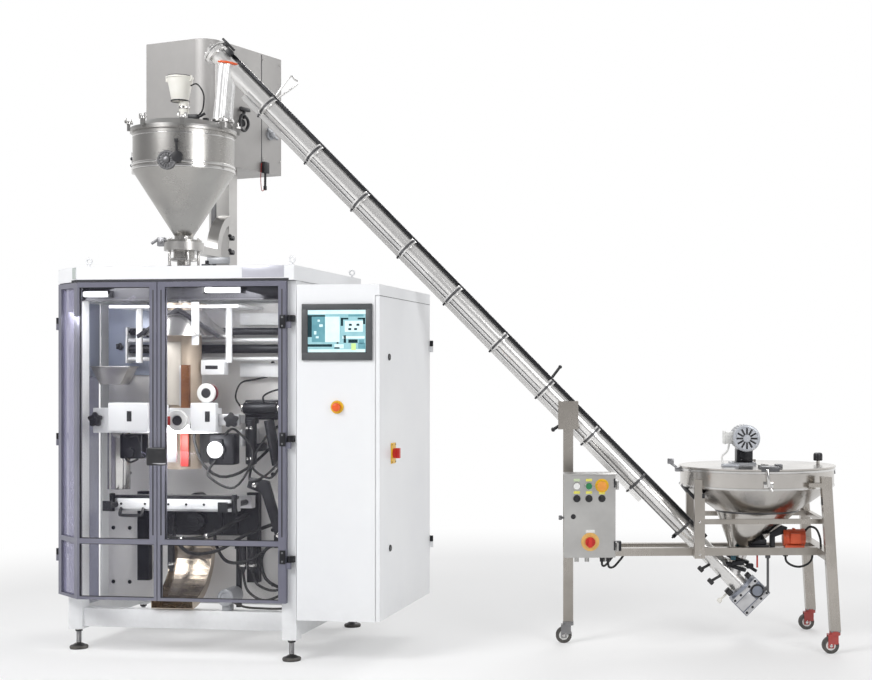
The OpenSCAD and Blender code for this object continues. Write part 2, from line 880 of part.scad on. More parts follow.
// Point on a smooth curve through the route, at t counted in points
function clamp_at(p, i) = p[max(0, min(len(p) - 1, i))];
function curve_at(p, i, f) =
    let (a = clamp_at(p, i - 1), b = clamp_at(p, i), c = clamp_at(p, i + 1), d = clamp_at(p, i + 2))
    0.5 * (2 * b + (c - a) * f + (2 * a - 5 * b + 4 * c - d) * f * f + (3 * b - a - 3 * c + d) * f * f * f);
function smooth(p, n) = concat([for (i = [0 : len(p) - 2]) for (k = [0 : n - 1]) curve_at(p, i, k / n)],
                               [p[len(p) - 1]]);
function unit(v) = v / norm(v);
function heading(p, i) = unit(clamp_at(p, i + 1) - clamp_at(p, i - 1));
function hose_ring(p, i, r, n) =
    let (t = heading(p, i), side = unit(cross(t, [0.9, 0.1, 0.42])), up = cross(t, side))
    [for (k = [0 : n - 1]) p[i] + r * (cos(360 * k / n) * side + sin(360 * k / n) * up)];

// Round hose swept along its route
module hose(route, r) {
    n = 10;
    p = smooth(route, 3);
    m = len(p);
    points = [for (i = [0 : m - 1]) each hose_ring(p, i, r, n)];
    sides = [for (i = [0 : m - 2]) for (k = [0 : n - 1])
             [i * n + k, i * n + (k + 1) % n, (i + 1) * n + (k + 1) % n, (i + 1) * n + k]];
    caps = [[for (k = [n - 1 : -1 : 0]) k], [for (k = [0 : n - 1]) (m - 1) * n + k]];
    polyhedron(points, concat(sides, caps));
}

// Air hoses and leads in the chamber
module chamber_hoses() {
    color("black")
        place() {
            hose([[120, 172, 1059], [122, 172, 1010], [160, 180, 910], [235, 200, 850], [310, 270, 865],
                  [370, 370, 930], [404, 460, 990], [410, 519, 1000]], 7);
            hose([[430, 519, 1080], [430, 440, 1080], [432, 370, 1040], [440, 340, 970], [452, 370, 900],
                  [470, 440, 870], [480, 519, 870]], 7);
            hose([[380, 519, 480], [380, 430, 475], [390, 340, 430], [430, 290, 350], [490, 330, 300],
                  [530, 430, 290], [540, 519, 290]], 8);
        }
}

// Film wound on its core, with the shaft that lies in the bearers
module film_reel() {
    color("ghostwhite")
        place() {
            bar_x(reel_y, reel_z, -reel_w / 2, reel_w / 2, reel_r);
            bar_x(reel_y, reel_z, -reel_w / 2 - 75, reel_w / 2 + 75, reel_pin_r);
        }
}

// Quarter ring of the arm, whose centre is on the column face
module yoke_plan() {
    difference() {
        intersection() {
            circle(r = yoke_r);
            translate([-yoke_r, 0])
                square([yoke_r + 1, yoke_r]);
        }
        circle(r = yoke_r - yoke_t);
    }
}

// Column with base plate, and the arm whose ring holds the hopper neck
module filler_column() {
    x = -57;
    y = 940;
    color("silver")
        place() {
            blk(x - 55, x + 55, y - 55, y + 55, body_top, drive_z0);
            blk(x - 110, x + 120, y - 110, body_depth, body_top, body_top + 18);
            difference() {
                union() {
                    blk(-35, 25, bag_y + 40, y - 55 - yoke_r + yoke_t, ring_z, flange_z);
                    bar_z(0, bag_y, ring_z, flange_z, 95);
                    translate([-35, y - 55, ring_z + 20])
                        rotate([90, 0, 90])
                            linear_extrude(60)
                                yoke_plan();
                }
                bar_z(0, bag_y, ring_z - eps, flange_z + eps, neck_out_r + air);
            }
        }
}

// Plan of the drive box, rounded at its front right corner and drawn in by the given amount
module drive_plan(inset) {
    r = drive_round;
    difference() {
        translate([-drive_w + inset, inset])
            square([drive_w - 2 * inset, drive_d - sheet_t - air]);
        difference() {
            translate([-r, -eps])
                square([r + eps, r + eps]);
            translate([-r, r])
                circle(r = r - inset);
        }
    }
}

// Stainless box over the column, with its rear cover
module drive_box() {
    color("silver")
        drive_place()
            translate([0, 0, drive_z0]) {
                difference() {
                    linear_extrude(drive_z1 - drive_z0)
                        drive_plan(0);
                    translate([0, 0, sheet_t])
                        linear_extrude(drive_z1 - drive_z0 - 2 * sheet_t)
                            drive_plan(sheet_t);
                }
                blk(-drive_w, 0, drive_d - sheet_t, drive_d, 0, drive_z1 - drive_z0);
            }
}

// Hollow hopper with cone, neck, flange and filling tube
module filler_hopper() {
    w = hop_wall;
    color("silver")
        place()
            translate([0, bag_y, 0])
                rotate_extrude($fn = 96)
                    polygon([[fill_r, fill_z0], [fill_r + w, fill_z0], [fill_r + w, ring_z - 50],
                             [neck_out_r, ring_z - 50], [neck_out_r, flange_z], [85, flange_z],
                             [85, flange_z + 12], [fill_r + w + 12, flange_z + 12],
                             [fill_r + w + 12, hop_out_z], [hop_r + w, hop_seam_z],
                             [hop_r + w, hop_top_z - 10], [hop_r + w + 12, hop_top_z - 10],
                             [hop_r + w + 12, hop_top_z], [hop_r, hop_top_z],
                             [hop_r, hop_seam_z], [fill_r, hop_out_z]]);
}

// Lid with its inlet hole, shaft hole and clamps round the rim
module hopper_cover() {
    n = 8;
    r = hop_r + hop_wall + 12;
    color("silver")
        place()
            difference() {
                union() {
                    bar_z(0, bag_y, hop_top_z, rim_z, r);
                    translate([0, bag_y, rim_z - eps])
                        cylinder(r1 = lid_r, r2 = lid_r - 44, h = lid_z - rim_z + eps);
                    translate([spout_x, spout_y, rim_z - eps])
                        cylinder(r = spout_r + 14, h = lid_z - rim_z + 12);
                    for (i = [0 : n - 1])
                        translate([0, bag_y, 0])
                            rotate([0, 0, 360 * (i + 0.5) / n]) {
                                translate([r - eps, -10, hop_top_z])
                                    cube([14, 20, 32]);
                                translate([r + 6, 0, hop_top_z + 32 - eps])
                                    cylinder(r = 8, h = 16);
                            }
                }
                difference() {
                    translate([0, bag_y, hop_top_z - eps])
                        cylinder(r1 = lid_r - 4, r2 = lid_r - 48, h = lid_z - hop_top_z - 4);
                    translate([spout_x, spout_y, hop_top_z - 2 * eps])
                        cylinder(r = spout_r + 14, h = lid_z - hop_top_z);
                }
                bar_z(0, bag_y, hop_top_z - eps, lid_z + eps, shaft_r + fit);
                translate([spout_x, spout_y, hop_top_z - 3 * eps])
                    cylinder(r = spout_r + air, h = 80);
            }
}

// Cream coloured drive of the auger on its stem
module auger_motor() {
    color("cornsilk")
        place()
            difference() {
                union() {
                    bar_z(0, bag_y, lid_z, lid_z + 12, 44);
                    bar_z(0, bag_y, lid_z + 12 - eps, lid_z + 116, 24);
                    translate([-20, bag_y, lid_z + 114])
                        cylinder(r1 = 40, r2 = 62, h = 112);
                    bar_z(-20, bag_y, lid_z + 226 - eps, lid_z + 236, 64);
                }
                bar_z(0, bag_y, lid_z - eps, lid_z + 60, shaft_r + fit);
            }
}

// Single start screw flight round a shaft, as a strip wound from its lower to its upper end
module flight(r0, r1, z0, z1, pitch, steps) {
    n = ceil((z1 - z0) / pitch * steps);
    t = 3;
    points = [for (i = [0 : n])
              let (a = 360 * i / steps, z = z0 + (z1 - z0 - t) * i / n)
              each [[r0 * cos(a), r0 * sin(a), z], [r1 * cos(a), r1 * sin(a), z],
                    [r1 * cos(a), r1 * sin(a), z + t], [r0 * cos(a), r0 * sin(a), z + t]]];
    sides = [for (i = [0 : n - 1]) for (k = [0 : 3])
             let (a = 4 * i + k, b = 4 * i + (k + 1) % 4)
             each k == 2 ? [[a, b, b + 4], [a, b + 4, a + 4]] : [[a, b, a + 4], [b, b + 4, a + 4]]];
    m = 4 * n;
    caps = [[0, 2, 1], [0, 3, 2], [m, m + 1, m + 2], [m, m + 2, m + 3]];
    polyhedron(points, concat(sides, caps));
}

// Dosing screw with stirring arms above it
module filler_auger() {
    color("silver")
        place()
            translate([0, bag_y, 0]) {
                bar_z(0, 0, fill_z0 + 10, lid_z + 50, shaft_r);
                flight(shaft_r - eps, auger_r, fill_z0 + 10, hop_out_z - 20, 60, 12);
                for (a = [0, 180])
                    rotate([0, 0, a]) {
                        blk(0, hop_r - 40, -6, 6, hop_seam_z + 20, hop_seam_z + 32);
                        blk(hop_r - 52, hop_r - 40, -6, 6, hop_seam_z + 20, hop_top_z - 40);
                    }
            }
}

// Slanting neck between the tube's inlet and the outlet of the cart hopper
module neck_form(r, z1) {
    hull() {
        translate([inlet_u, 0, inlet_z])
            cylinder(r = r, h = 0.1);
        translate([inlet_u + neck_run, 0, z1 - 0.1])
            cylinder(r = r, h = 0.1);
    }
}

// Sloping tube with joint collars, carrier rail, upper bearing and outlet spout
module feeder_tube() {
    color("silver")
        difference() {
            union() {
                along_pipe() {
                    cylinder(r = pipe_r, h = pipe_l);
                    for (i = [0 : collar_n - 1])
                        translate([0, 0, collar_s0 + i * collar_step - 14])
                            cylinder(r = pipe_r + 10, h = 28);
                    translate([0, 0, -26])
                        cylinder(r = pipe_r + 16, h = 30);
                    translate([pipe_r + 2, -11, 240])
                        cube([22, 22, pipe_l - 900]);
                }
                translate([spout_x - origin_x, spout_y - origin_y, hop_top_z + gap])
                    cylinder(r = spout_r, h = spout_z - hop_top_z - gap);
                feeder()
                    neck_form(neck_r, bin_out_z);
            }
            along_pipe()
                translate([0, 0, -6])
                    cylinder(r = pipe_r - pipe_wall, h = pipe_l + 8);
            along_pipe()
                translate([0, 0, -30])
                    cylinder(r = screw_shaft_r + fit, h = 40);
            translate([spout_x - origin_x, spout_y - origin_y, hop_top_z])
                cylinder(r = spout_r - 3, h = spout_z - hop_top_z);
            feeder()
                neck_form(neck_r - 3, bin_out_z + eps);
        }
}

// Feeding screw inside the tube
module feeder_screw() {
    color("silver")
        along_pipe() {
            translate([0, 0, -24])
                cylinder(r = screw_shaft_r, h = pipe_l + 44);
            flight(screw_shaft_r - eps, pipe_r - pipe_wall - 3, 40, pipe_l - 10, screw_pitch, 12);
        }
}

// Worm gear motor at the lower end of the tube
module feeder_drive() {
    color("darkgray")
        difference() {
            along_pipe() {
                translate([0, 0, pipe_l])
                    cylinder(r = pipe_r + 26, h = 16);
                translate([-gear_w / 2, -52, pipe_l + 15])
                    cube([gear_w, 104, 110]);
                translate([-44, -64, pipe_l + 70])
                    rotate([-90, 0, 0])
                        cylinder(r = 30, h = 20);
                translate([0, 50, pipe_l + 70])
                    rotate([-90, 0, 0])
                        cylinder(r = 50, h = 190);
            }
            along_pipe()
                translate([0, 0, pipe_l - eps])
                    cylinder(r = screw_shaft_r + fit, h = 30);
        }
}

// Bottom of a cart leg, bored for the kingpin of its caster
module kingpin_bore(u, v) {
    translate([u, v, caster_h - eps])
        cylinder(r = kingpin_r + fit, h = 40);
}

// Upright square tube of the cart
module cart_post(u, v, z1) {
    blk(u - cart_s / 2, u + cart_s / 2, v - cart_s / 2, v + cart_s / 2, caster_h, z1);
}

// Place of a right leg along the cart at a height
function leg_at(z) = leg_u - leg_lean * (z - caster_h) / (leg_z1 - caster_h);

// Right leg that leans towards the cart hopper
module cart_leg(v) {
    half = cart_s / 2;
    hull() {
        blk(leg_u - half, leg_u + half, v - half, v + half, caster_h, caster_h + 0.1);
        blk(leg_u - leg_lean - half, leg_u - leg_lean + half, v - half, v + half, leg_z1 - 0.1, leg_z1);
    }
}

// Welded cart: tube support post, two beams, legs and hopper brackets
module cart_frame() {
    half = cart_s / 2;
    z0 = beam_z - beam_h;
    mid_u = leg_at(beam_z);
    color("silver")
        difference() {
            feeder() {
                cart_post(post_u, 0, saddle_z);
                blk(post_u - half, post_u + half, -riser_v - half, beam_v + half, z0, beam_z);
                blk(post_u - half, post_u + half, -riser_v - half, -riser_v + half, z0, ctrl_z + ctrl_h - 40);
                blk(post_u - 50, post_u + 50, -pipe_r - 18, pipe_r + 18, saddle_z - 30, saddle_z + 110);
                for (s = [-1, 1]) {
                    blk(post_u, mid_u, s * beam_v - half, s * beam_v + half, z0, beam_z);
                    cart_leg(s * leg_v);
                    blk(leg_u - 130, leg_u - leg_lean, s * leg_v - half, s * leg_v + half,
                        bin_z1 - 80, bin_z1 - 60);
                    blk(stand_u - half, stand_u + half, s > 0 ? beam_v : -stand_v - half,
                        s > 0 ? stand_v + half : -beam_v, z0, beam_z);
                    blk(stand_u - half, stand_u + half, s * stand_v - half, s * stand_v + half,
                        z0, bin_band_z + 45);
                    blk(stand_u, leg_at(rack_z), s * stand_v - rack_s / 2, s * stand_v + rack_s / 2,
                        rack_z, rack_z + rack_s);
                }
                blk(mid_u - half, mid_u + half, -leg_v, leg_v, z0, beam_z);
                blk(leg_at(rack_z) - rack_s / 2, leg_at(rack_z) + rack_s / 2, -leg_v, leg_v,
                    rack_z, rack_z + rack_s);
            }
            feeder()
                for (p = caster_at)
                    kingpin_bore(p[0], p[1]);
            feeder()
                bar_z(bin_u, 0, bin_band_z - 45, bin_z1 + eps, bin_r + air / 5);
            along_pipe()
                cylinder(r = pipe_r + air / 5, h = pipe_l);
            along_pipe()
                translate([pipe_r - 4, -13, 0])
                    cube([40, 26, pipe_l]);
        }
}

// Outer or inner form of the cart hopper
module bin_form(inset) {
    translate([bin_u, 0, bin_band_z])
        cylinder(r = bin_r - inset, h = bin_band + inset);
    hull() {
        translate([bin_u, 0, bin_band_z + inset])
            cylinder(r = bin_r - inset, h = 0.1, $fn = 64);
        translate([bin_u, 0, bin_mid_z + inset])
            cylinder(r = bin_mid_r - inset, h = 0.1, $fn = 64);
    }
    hull() {
        translate([bin_u, 0, bin_mid_z + inset])
            cylinder(r = bin_mid_r - inset, h = 0.1, $fn = 64);
        translate([inlet_u + neck_run, 0, bin_out_z - inset])
            cylinder(r = neck_r - inset, h = 0.1, $fn = 64);
    }
}

module cart_hopper() {
    color("silver")
        feeder()
            difference() {
                bin_form(0);
                bin_form(3);
            }
}

// Half disc over the hopper, on the side given by s
module half_lid(s) {
    intersection() {
        bar_z(bin_u, 0, bin_z1, bin_z1 + 8, bin_r + 8);
        blk(s > 0 ? bin_u + gap : bin_u - bin_r - 20, s > 0 ? bin_u + bin_r + 20 : bin_u - gap,
            -bin_r - 20, bin_r + 20, bin_z1 - eps, bin_z1 + 20);
    }
}

// Fixed half of the cover with the hinge pins of the flap
module cart_cover() {
    color("silver")
        feeder() {
            half_lid(-1);
            for (v = flap_vs)
                translate([0, v, 0]) {
                    bar_y(bin_u, flap_z, 0, 30, 8);
                    bar_y(bin_u, flap_z, 0, 60, pin_r);
                    blk(bin_u - 26, bin_u, 0, 30, bin_z1 + 8 - eps, flap_z + 4);
                }
        }
}

// Hinged half of the cover with its knob
module cart_flap() {
    color("silver")
        feeder()
            difference() {
                union() {
                    difference() {
                        half_lid(1);
                        for (v = flap_vs)
                            blk(bin_u, bin_u + 12, v - 1, v + 32, bin_z1 - eps, bin_z1 + 20);
                    }
                    for (v = flap_vs)
                        translate([0, v, 0]) {
                            bar_y(bin_u, flap_z, 30 + air, 60, 8);
                            blk(bin_u, bin_u + 26, 30 + air, 60, bin_z1 + 8 - eps, flap_z + 4);
                        }
                    bar_z(bin_u + bin_r - 75, 0, bin_z1 + 7, bin_z1 + 30, 9);
                    bar_z(bin_u + bin_r - 75, 0, bin_z1 + 29, bin_z1 + 66, 20);
                }
                for (v = flap_vs)
                    bar_y(bin_u, flap_z, v + 29, v + 61, pin_r + fit);
            }
}

// Stirrer motor lying on its gearbox
module agitator_motor() {
    u = bin_u - 66;
    z = bin_z1 + 8;
    color("lightsteelblue")
        feeder() {
            blk(u - 70, u + 54, -70, 70, z, z + 14);
            blk(u - 38, u + 38, -44, 44, z + 13, z + 90);
            bar_y(u, z + 137, -120, 80, 62);
            blk(u - 98, u - 55, -50, 30, z + 110, z + 165);
        }
}

// Vibrator bolted to the front beam
module vibrator_motor() {
    u = vibrator_u;
    v = -beam_v;
    color("orangered")
        feeder() {
            blk(u, u + 96, v - 32, v + 24, beam_z, beam_z + 12);
            bar_x(v - 6, beam_z + 48, u + 4, u + 92, 38);
            blk(u + 24, u + 72, v - 60, v - 30, beam_z + 24, beam_z + 72);
        }
}

// Case of the control box
module control_box() {
    color("gainsboro")
        feeder()
            difference() {
                blk(ctrl_u, ctrl_u + ctrl_w, ctrl_v + ctrl_door_t + gap, ctrl_v + ctrl_d,
                    ctrl_z, ctrl_z + ctrl_h);
                blk(ctrl_u + 3, ctrl_u + ctrl_w - 3, ctrl_v, ctrl_v + ctrl_d - 3,
                    ctrl_z + 3, ctrl_z + ctrl_h - 3);
            }
        feeder() {
            for (z = ctrl_hinge_zs) {
                bar_z(ctrl_pin[0], ctrl_pin[1], z + air, z + 20, 7);
                bar_z(ctrl_pin[0], ctrl_pin[1], z - 20, z + 10, 3);
                blk(ctrl_u + ctrl_w, ctrl_pin[0], ctrl_pin[1], ctrl_v + 60, z + air, z + 20);
            }
            for (u = [60, 110, 190])
                bar_z(ctrl_u + u, ctrl_v + 90, ctrl_z - 30, ctrl_z, 11);
        }
}

// Door of the control box, drilled for its switches
module control_door() {
    color("gainsboro")
        feeder()
            difference() {
                union() {
                    blk(ctrl_u, ctrl_u + ctrl_w - gap, ctrl_v, ctrl_v + ctrl_door_t, ctrl_z, ctrl_z + ctrl_h);
                    for (z = ctrl_hinge_zs) {
                        bar_z(ctrl_pin[0], ctrl_pin[1], z - 20, z - air, 7);
                        blk(ctrl_u + ctrl_w - gap - eps, ctrl_pin[0], ctrl_v + 4, ctrl_v + 14,
                            z - 20, z - air);
                    }
                }
                for (z = ctrl_hinge_zs)
                    bar_z(ctrl_pin[0], ctrl_pin[1], z - 21, z + eps, 3 + fit);
                for (p = [start_at, stop_at, stop_head_at, mode_at, mains_at])
                    bar_y(p[0], p[1], ctrl_v - eps, ctrl_v + ctrl_door_t + eps, ctrl_stem_r + fit);
            }
}

// Stem and head of a switch on the control door
module ctrl_knob(p, head_r, head_h, lift) {
    bar_y(p[0], p[1], ctrl_v - lift - eps, ctrl_v + ctrl_door_t - 6, ctrl_stem_r);
    bar_y(p[0], p[1], ctrl_v - lift - head_h, ctrl_v - lift, head_r);
}

module control_estop() {
    color("orangered")
        feeder()
            ctrl_knob(stop_head_at, 22, 20, 12);
}

module control_switch() {
    color("red")
        feeder() {
            ctrl_knob(mains_at, 24, 12, 5);
            blk(mains_at[0] - 9, mains_at[0] + 9, ctrl_v - 34, ctrl_v - 16,
                mains_at[1] - 24, mains_at[1] + 24);
        }
}

module start_button() {
    color("white")
        feeder()
            ctrl_knob(start_at, 15, 10, 8);
}

module stop_button() {
    color("darkgreen")
        feeder()
            ctrl_knob(stop_at, 15, 10, 8);
}

module mode_selector() {
    color("black")
        feeder() {
            ctrl_knob(mode_at, 15, 8, 3);
            blk(mode_at[0] - 5, mode_at[0] + 5, ctrl_v - 24, ctrl_v - 10, mode_at[1] - 15, mode_at[1] + 15);
        }
}

// Swivelling fork under a cart leg
module caster(p) {
    w = wheel_w / 2 + 3;
    color("firebrick")
        feeder()
            translate([p[0], p[1], 0])
                difference() {
                    union() {
                        cylinder_between(2 * wheel_r + 8, caster_h - gap, 27);
                        cylinder_between(caster_h - 12, caster_h + 30, kingpin_r);
                        for (s = [-1, 1])
                            translate([0, s * (w + 2.5) - 2.5, 0]) {
                                blk(-trail - 14, 14, 0, 5, wheel_r + 6, 2 * wheel_r + 12);
                                blk(-trail - 14, -trail + 14, 0, 5, wheel_r - 12, wheel_r + 7);
                            }
                        blk(-trail - 14, 14, -w - 5, w + 5, 2 * wheel_r + 8, 2 * wheel_r + 13);
                    }
                    bar_y(-trail, wheel_r, -40, 40, axle_r + fit);
                }
}

module cylinder_between(z0, z1, r) {
    translate([0, 0, z0])
        cylinder(r = r, h = z1 - z0);
}

module wheel(p) {
    color("dimgray")
        feeder()
            translate([p[0] - trail, p[1], wheel_r]) {
                rotate([90, 0, 0])
                    cylinder(r = wheel_r, h = wheel_w, center = true);
                rotate([90, 0, 0])
                    cylinder(r = axle_r, h = wheel_w + 18, center = true);
            }
}

module left_caster() {
    caster(caster_at[0]);
}

module front_caster() {
    caster(caster_at[1]);
}

module rear_caster() {
    caster(caster_at[2]);
}

module left_wheel() {
    wheel(caster_at[0]);
}

module front_wheel() {
    wheel(caster_at[1]);
}

module rear_wheel() {
    wheel(caster_at[2]);
}

main_frame();
levelling_feet();
body_panels();
back_plate();
side_window();
door_hinges();
right_door_frame();
right_door_panes();
left_door_frame();
left_door_panes();
door_latch();
cabinet_shell();
cabinet_door();
main_switch();
touch_panel();
estop_collar();
estop_button();
forming_tube();
forming_shoulder();
film_frame();
film_roller();
vertical_sealer();
left_pull_belt();
right_pull_belt();
left_pulley();
right_pulley();
jaw_carriage();
front_jaw();
rear_jaw();
discharge_chute();
chamber_hoses();
film_reel();
filler_column();
drive_box();
filler_hopper();
hopper_cover();
auger_motor();
filler_auger();
feeder_tube();
feeder_screw();
feeder_drive();
cart_frame();
cart_hopper();
cart_cover();
cart_flap();
agitator_motor();
vibrator_motor();
control_box();
control_door();
control_estop();
control_switch();
start_button();
stop_button();
mode_selector();
left_caster();
front_caster();
rear_caster();
left_wheel();
front_wheel();
rear_wheel();
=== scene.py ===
"""Dressed model of the vertical form fill sealer line: sealer, cabinet, auger filler, screw feeder and cart."""

import logging
import math
from dataclasses import dataclass
from enum import Enum
from functools import partial
from typing import Callable, Iterable, Optional, Sequence, Union

import bpy
from mathutils import Matrix, Vector


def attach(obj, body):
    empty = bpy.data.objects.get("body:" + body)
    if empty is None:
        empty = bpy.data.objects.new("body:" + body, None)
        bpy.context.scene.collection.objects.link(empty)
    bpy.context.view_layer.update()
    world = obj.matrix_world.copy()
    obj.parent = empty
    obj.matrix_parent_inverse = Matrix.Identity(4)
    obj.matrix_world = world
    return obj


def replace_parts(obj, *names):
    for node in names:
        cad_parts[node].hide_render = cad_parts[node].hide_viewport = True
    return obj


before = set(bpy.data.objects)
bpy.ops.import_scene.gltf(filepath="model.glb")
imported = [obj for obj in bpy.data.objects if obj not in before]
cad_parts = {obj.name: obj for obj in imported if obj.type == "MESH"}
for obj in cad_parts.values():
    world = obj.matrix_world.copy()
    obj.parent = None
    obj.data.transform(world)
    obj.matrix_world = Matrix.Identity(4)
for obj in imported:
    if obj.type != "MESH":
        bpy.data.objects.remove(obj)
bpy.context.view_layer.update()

log = logging.getLogger("sealer_line")

Point = tuple[float, float, float]

# Way that the machine faces
FRONT = (0, -1, 0)

# Bag axis, door plane and floor, seen from the middle of the footprint
MACHINE = Matrix.Translation((-1.310547, -0.670829, 0.0))
FEEDER = MACHINE @ Matrix.Translation((0.060, 0.370, 0.0)) @ Matrix.Rotation(math.radians(10), 4, "Z")
PIPE = FEEDER @ Matrix.Translation((0.085, 0.0, 2.930)) @ Matrix.Rotation(math.radians(135.5), 4, "Y")
DRIVE = MACHINE @ Matrix.Translation((-0.031, 0.689, 0.0)) @ Matrix.Rotation(math.radians(-17), 4, "Z")


class Grain(Enum):
    """Ways a surface was worked."""

    PEEL = "peel"
    BRUSH_X = "brush_x"
    BRUSH_Y = "brush_y"
    BRUSH_Z = "brush_z"
    CAST = "cast"
    MOULDED = "moulded"
    RUBBER = "rubber"


STRETCH = {
    Grain.PEEL: (420.0, 420.0, 420.0),
    Grain.BRUSH_X: (6.0, 420.0, 420.0),
    Grain.BRUSH_Y: (420.0, 6.0, 420.0),
    Grain.BRUSH_Z: (420.0, 420.0, 6.0),
    Grain.CAST: (260.0, 260.0, 260.0),
    Grain.MOULDED: (900.0, 900.0, 900.0),
    Grain.RUBBER: (1400.0, 1400.0, 1400.0),
}


Links = Sequence[tuple[bpy.types.Node, object, bpy.types.Node, object]]
Colour = tuple[float, float, float]

PURE_WHITE = (1.0, 1.0, 1.0, 1.0)


@dataclass(frozen=True)
class Wiring:
    """Node tree that is being wired."""

    tree: bpy.types.NodeTree

    def add(self, kind: str, values: Optional[dict] = None, **settings: object) -> bpy.types.Node:
        """Add a shader node.

        Args:
            kind: Type of the node, without its prefix.
            values: Defaults of its inputs, by socket.
            settings: Attributes of the node, which are set first.

        Returns:
            The node.
        """
        node = self.tree.nodes.new("ShaderNode" + kind)
        for attribute, value in settings.items():
            setattr(node, attribute, value)
        return self.give(node, values or {})

    @staticmethod
    def give(node: bpy.types.Node, values: dict) -> bpy.types.Node:
        """Set the defaults of a node's inputs, and give the node back."""
        for socket, value in values.items():
            node.inputs[socket].default_value = value
        return node

    def join(self, links: Links) -> None:
        """Link outputs to inputs.

        Args:
            links: Source node, its output, target node and its input, for each link.
        """
        for source, output, target, socket in links:
            self.tree.links.new(source.outputs[output], target.inputs[socket])


def shared(build: Callable) -> Callable[[], bpy.types.NodeTree]:
    """Make a builder of a node group build it once, and give it again when it is asked for.

    Args:
        build: Function that wires the group under the name it gets.

    Returns:
        Function that gives the group.
    """
    name = build.__name__.replace("_", " ")
    return lambda: bpy.data.node_groups.get(name) or build(name)


def group(name: str, inputs: dict, outputs: dict) -> tuple[Wiring, bpy.types.Node, bpy.types.Node]:
    """Start a shader node group with its sockets.

    Args:
        name: Name of the group.
        inputs: Socket type and default of each input, by name.
        outputs: Socket type of each output, by name.

    Returns:
        The group's wiring with its input and output nodes.
    """
    tree = bpy.data.node_groups.new(name, "ShaderNodeTree")
    for label, (kind, value) in inputs.items():
        tree.interface.new_socket(label, in_out="INPUT", socket_type="NodeSocket" + kind).default_value = value
    for label, kind in outputs.items():
        tree.interface.new_socket(label, in_out="OUTPUT", socket_type="NodeSocket" + kind)
    return Wiring(tree), tree.nodes.new("NodeGroupInput"), tree.nodes.new("NodeGroupOutput")


@shared
def surface_grain(name: str) -> bpy.types.NodeTree:
    """Drawn, cast or moulded grain as a height, from noise stretched along the tool marks."""
    net, inp, out = group(name, {"Stretch": ("Vector", (100.0, 100.0, 100.0))}, {"Height": "Float"})
    coords = net.add("TexCoord")
    scale = net.add("VectorMath", operation="MULTIPLY")
    noise = net.add("TexNoise", {"Scale": 1.0, "Detail": 3.0})
    net.join([(coords, "Object", scale, 0), (inp, "Stretch", scale, 1), (scale, 0, noise, "Vector"),
              (noise, "Fac", out, "Height")])
    return net.tree


@shared
def tone_drift(name: str) -> bpy.types.NodeTree:
    """Slow change of a tone over a large surface, with small cloudy marks in it."""
    net, inp, out = group(name, {"Light": ("Color", (0.8, 0.8, 0.8, 1.0)), "Dark": ("Color", (0.7, 0.7, 0.7, 1.0)),
                                 "Scale": ("Float", 4.0)}, {"Colour": "Color", "Mask": "Float"})
    coords = net.add("TexCoord")
    noise = net.add("TexNoise", {"Detail": 5.0, "Roughness": 0.62})
    span = net.add("MapRange", {"From Min": 0.32, "From Max": 0.68})
    mix = net.add("Mix", data_type="RGBA")
    net.join([(coords, "Object", noise, "Vector"), (inp, "Scale", noise, "Scale"), (noise, "Fac", span, "Value"),
              (span, "Result", mix, "Factor"), (inp, "Light", mix, "A"), (inp, "Dark", mix, "B"),
              (mix, "Result", out, "Colour"), (span, "Result", out, "Mask")])
    return net.tree


@shared
def floor_dust(name: str) -> bpy.types.NodeTree:
    """Floor dust and scuffs that thin out with height."""
    net, inp, out = group(name, {"Colour": ("Color", (0.8, 0.8, 0.8, 1.0)), "Amount": ("Float", 0.3)},
                          {"Colour": "Color", "Mask": "Float"})
    coords = net.add("TexCoord")
    axes = net.add("SeparateXYZ")
    fade = net.add("MapRange", {"From Min": 0.0, "From Max": 0.35, "To Min": 1.0, "To Max": 0.0})
    noise = net.add("TexNoise", {"Scale": 38.0, "Detail": 6.0})
    marks = net.add("Math", operation="MULTIPLY")
    amount = net.add("Math", operation="MULTIPLY")
    mix = net.add("Mix", {"B": (0.34, 0.32, 0.29, 1.0)}, data_type="RGBA")
    net.join([(coords, "Object", axes, 0), (axes, "Z", fade, "Value"), (coords, "Object", noise, "Vector"),
              (fade, "Result", marks, 0), (noise, "Fac", marks, 1), (marks, 0, amount, 0),
              (inp, "Amount", amount, 1), (amount, 0, mix, "Factor"), (inp, "Colour", mix, "A"),
              (mix, "Result", out, "Colour"), (amount, 0, out, "Mask")])
    return net.tree


@shared
def hairline_scratches(name: str) -> bpy.types.NodeTree:
    """Sparse fine scratches left by wiping and handling."""
    net, inp, out = group(name, {"Scale": ("Float", 9.0)}, {"Mask": "Float"})
    coords = net.add("TexCoord")
    turn = net.add("Mapping", {"Rotation": (0.6, 0.35, 0.9), "Scale": (1.0, 14.0, 14.0)})
    noise = net.add("TexNoise", {"Detail": 2.0})
    span = net.add("MapRange", {"From Min": 0.66, "From Max": 0.74})
    net.join([(coords, "Object", turn, "Vector"), (turn, "Vector", noise, "Vector"),
              (inp, "Scale", noise, "Scale"), (noise, "Fac", span, "Value"), (span, "Result", out, "Mask")])
    return net.tree


def new_material(name: str) -> tuple[bpy.types.Material, Wiring, bpy.types.Node]:
    """Start a material.

    Args:
        name: Name of the material.

    Returns:
        The material, its wiring and its surface shader.
    """
    mat = bpy.data.materials.new(name)
    mat.use_nodes = True
    return mat, Wiring(mat.node_tree), mat.node_tree.nodes["Principled BSDF"]


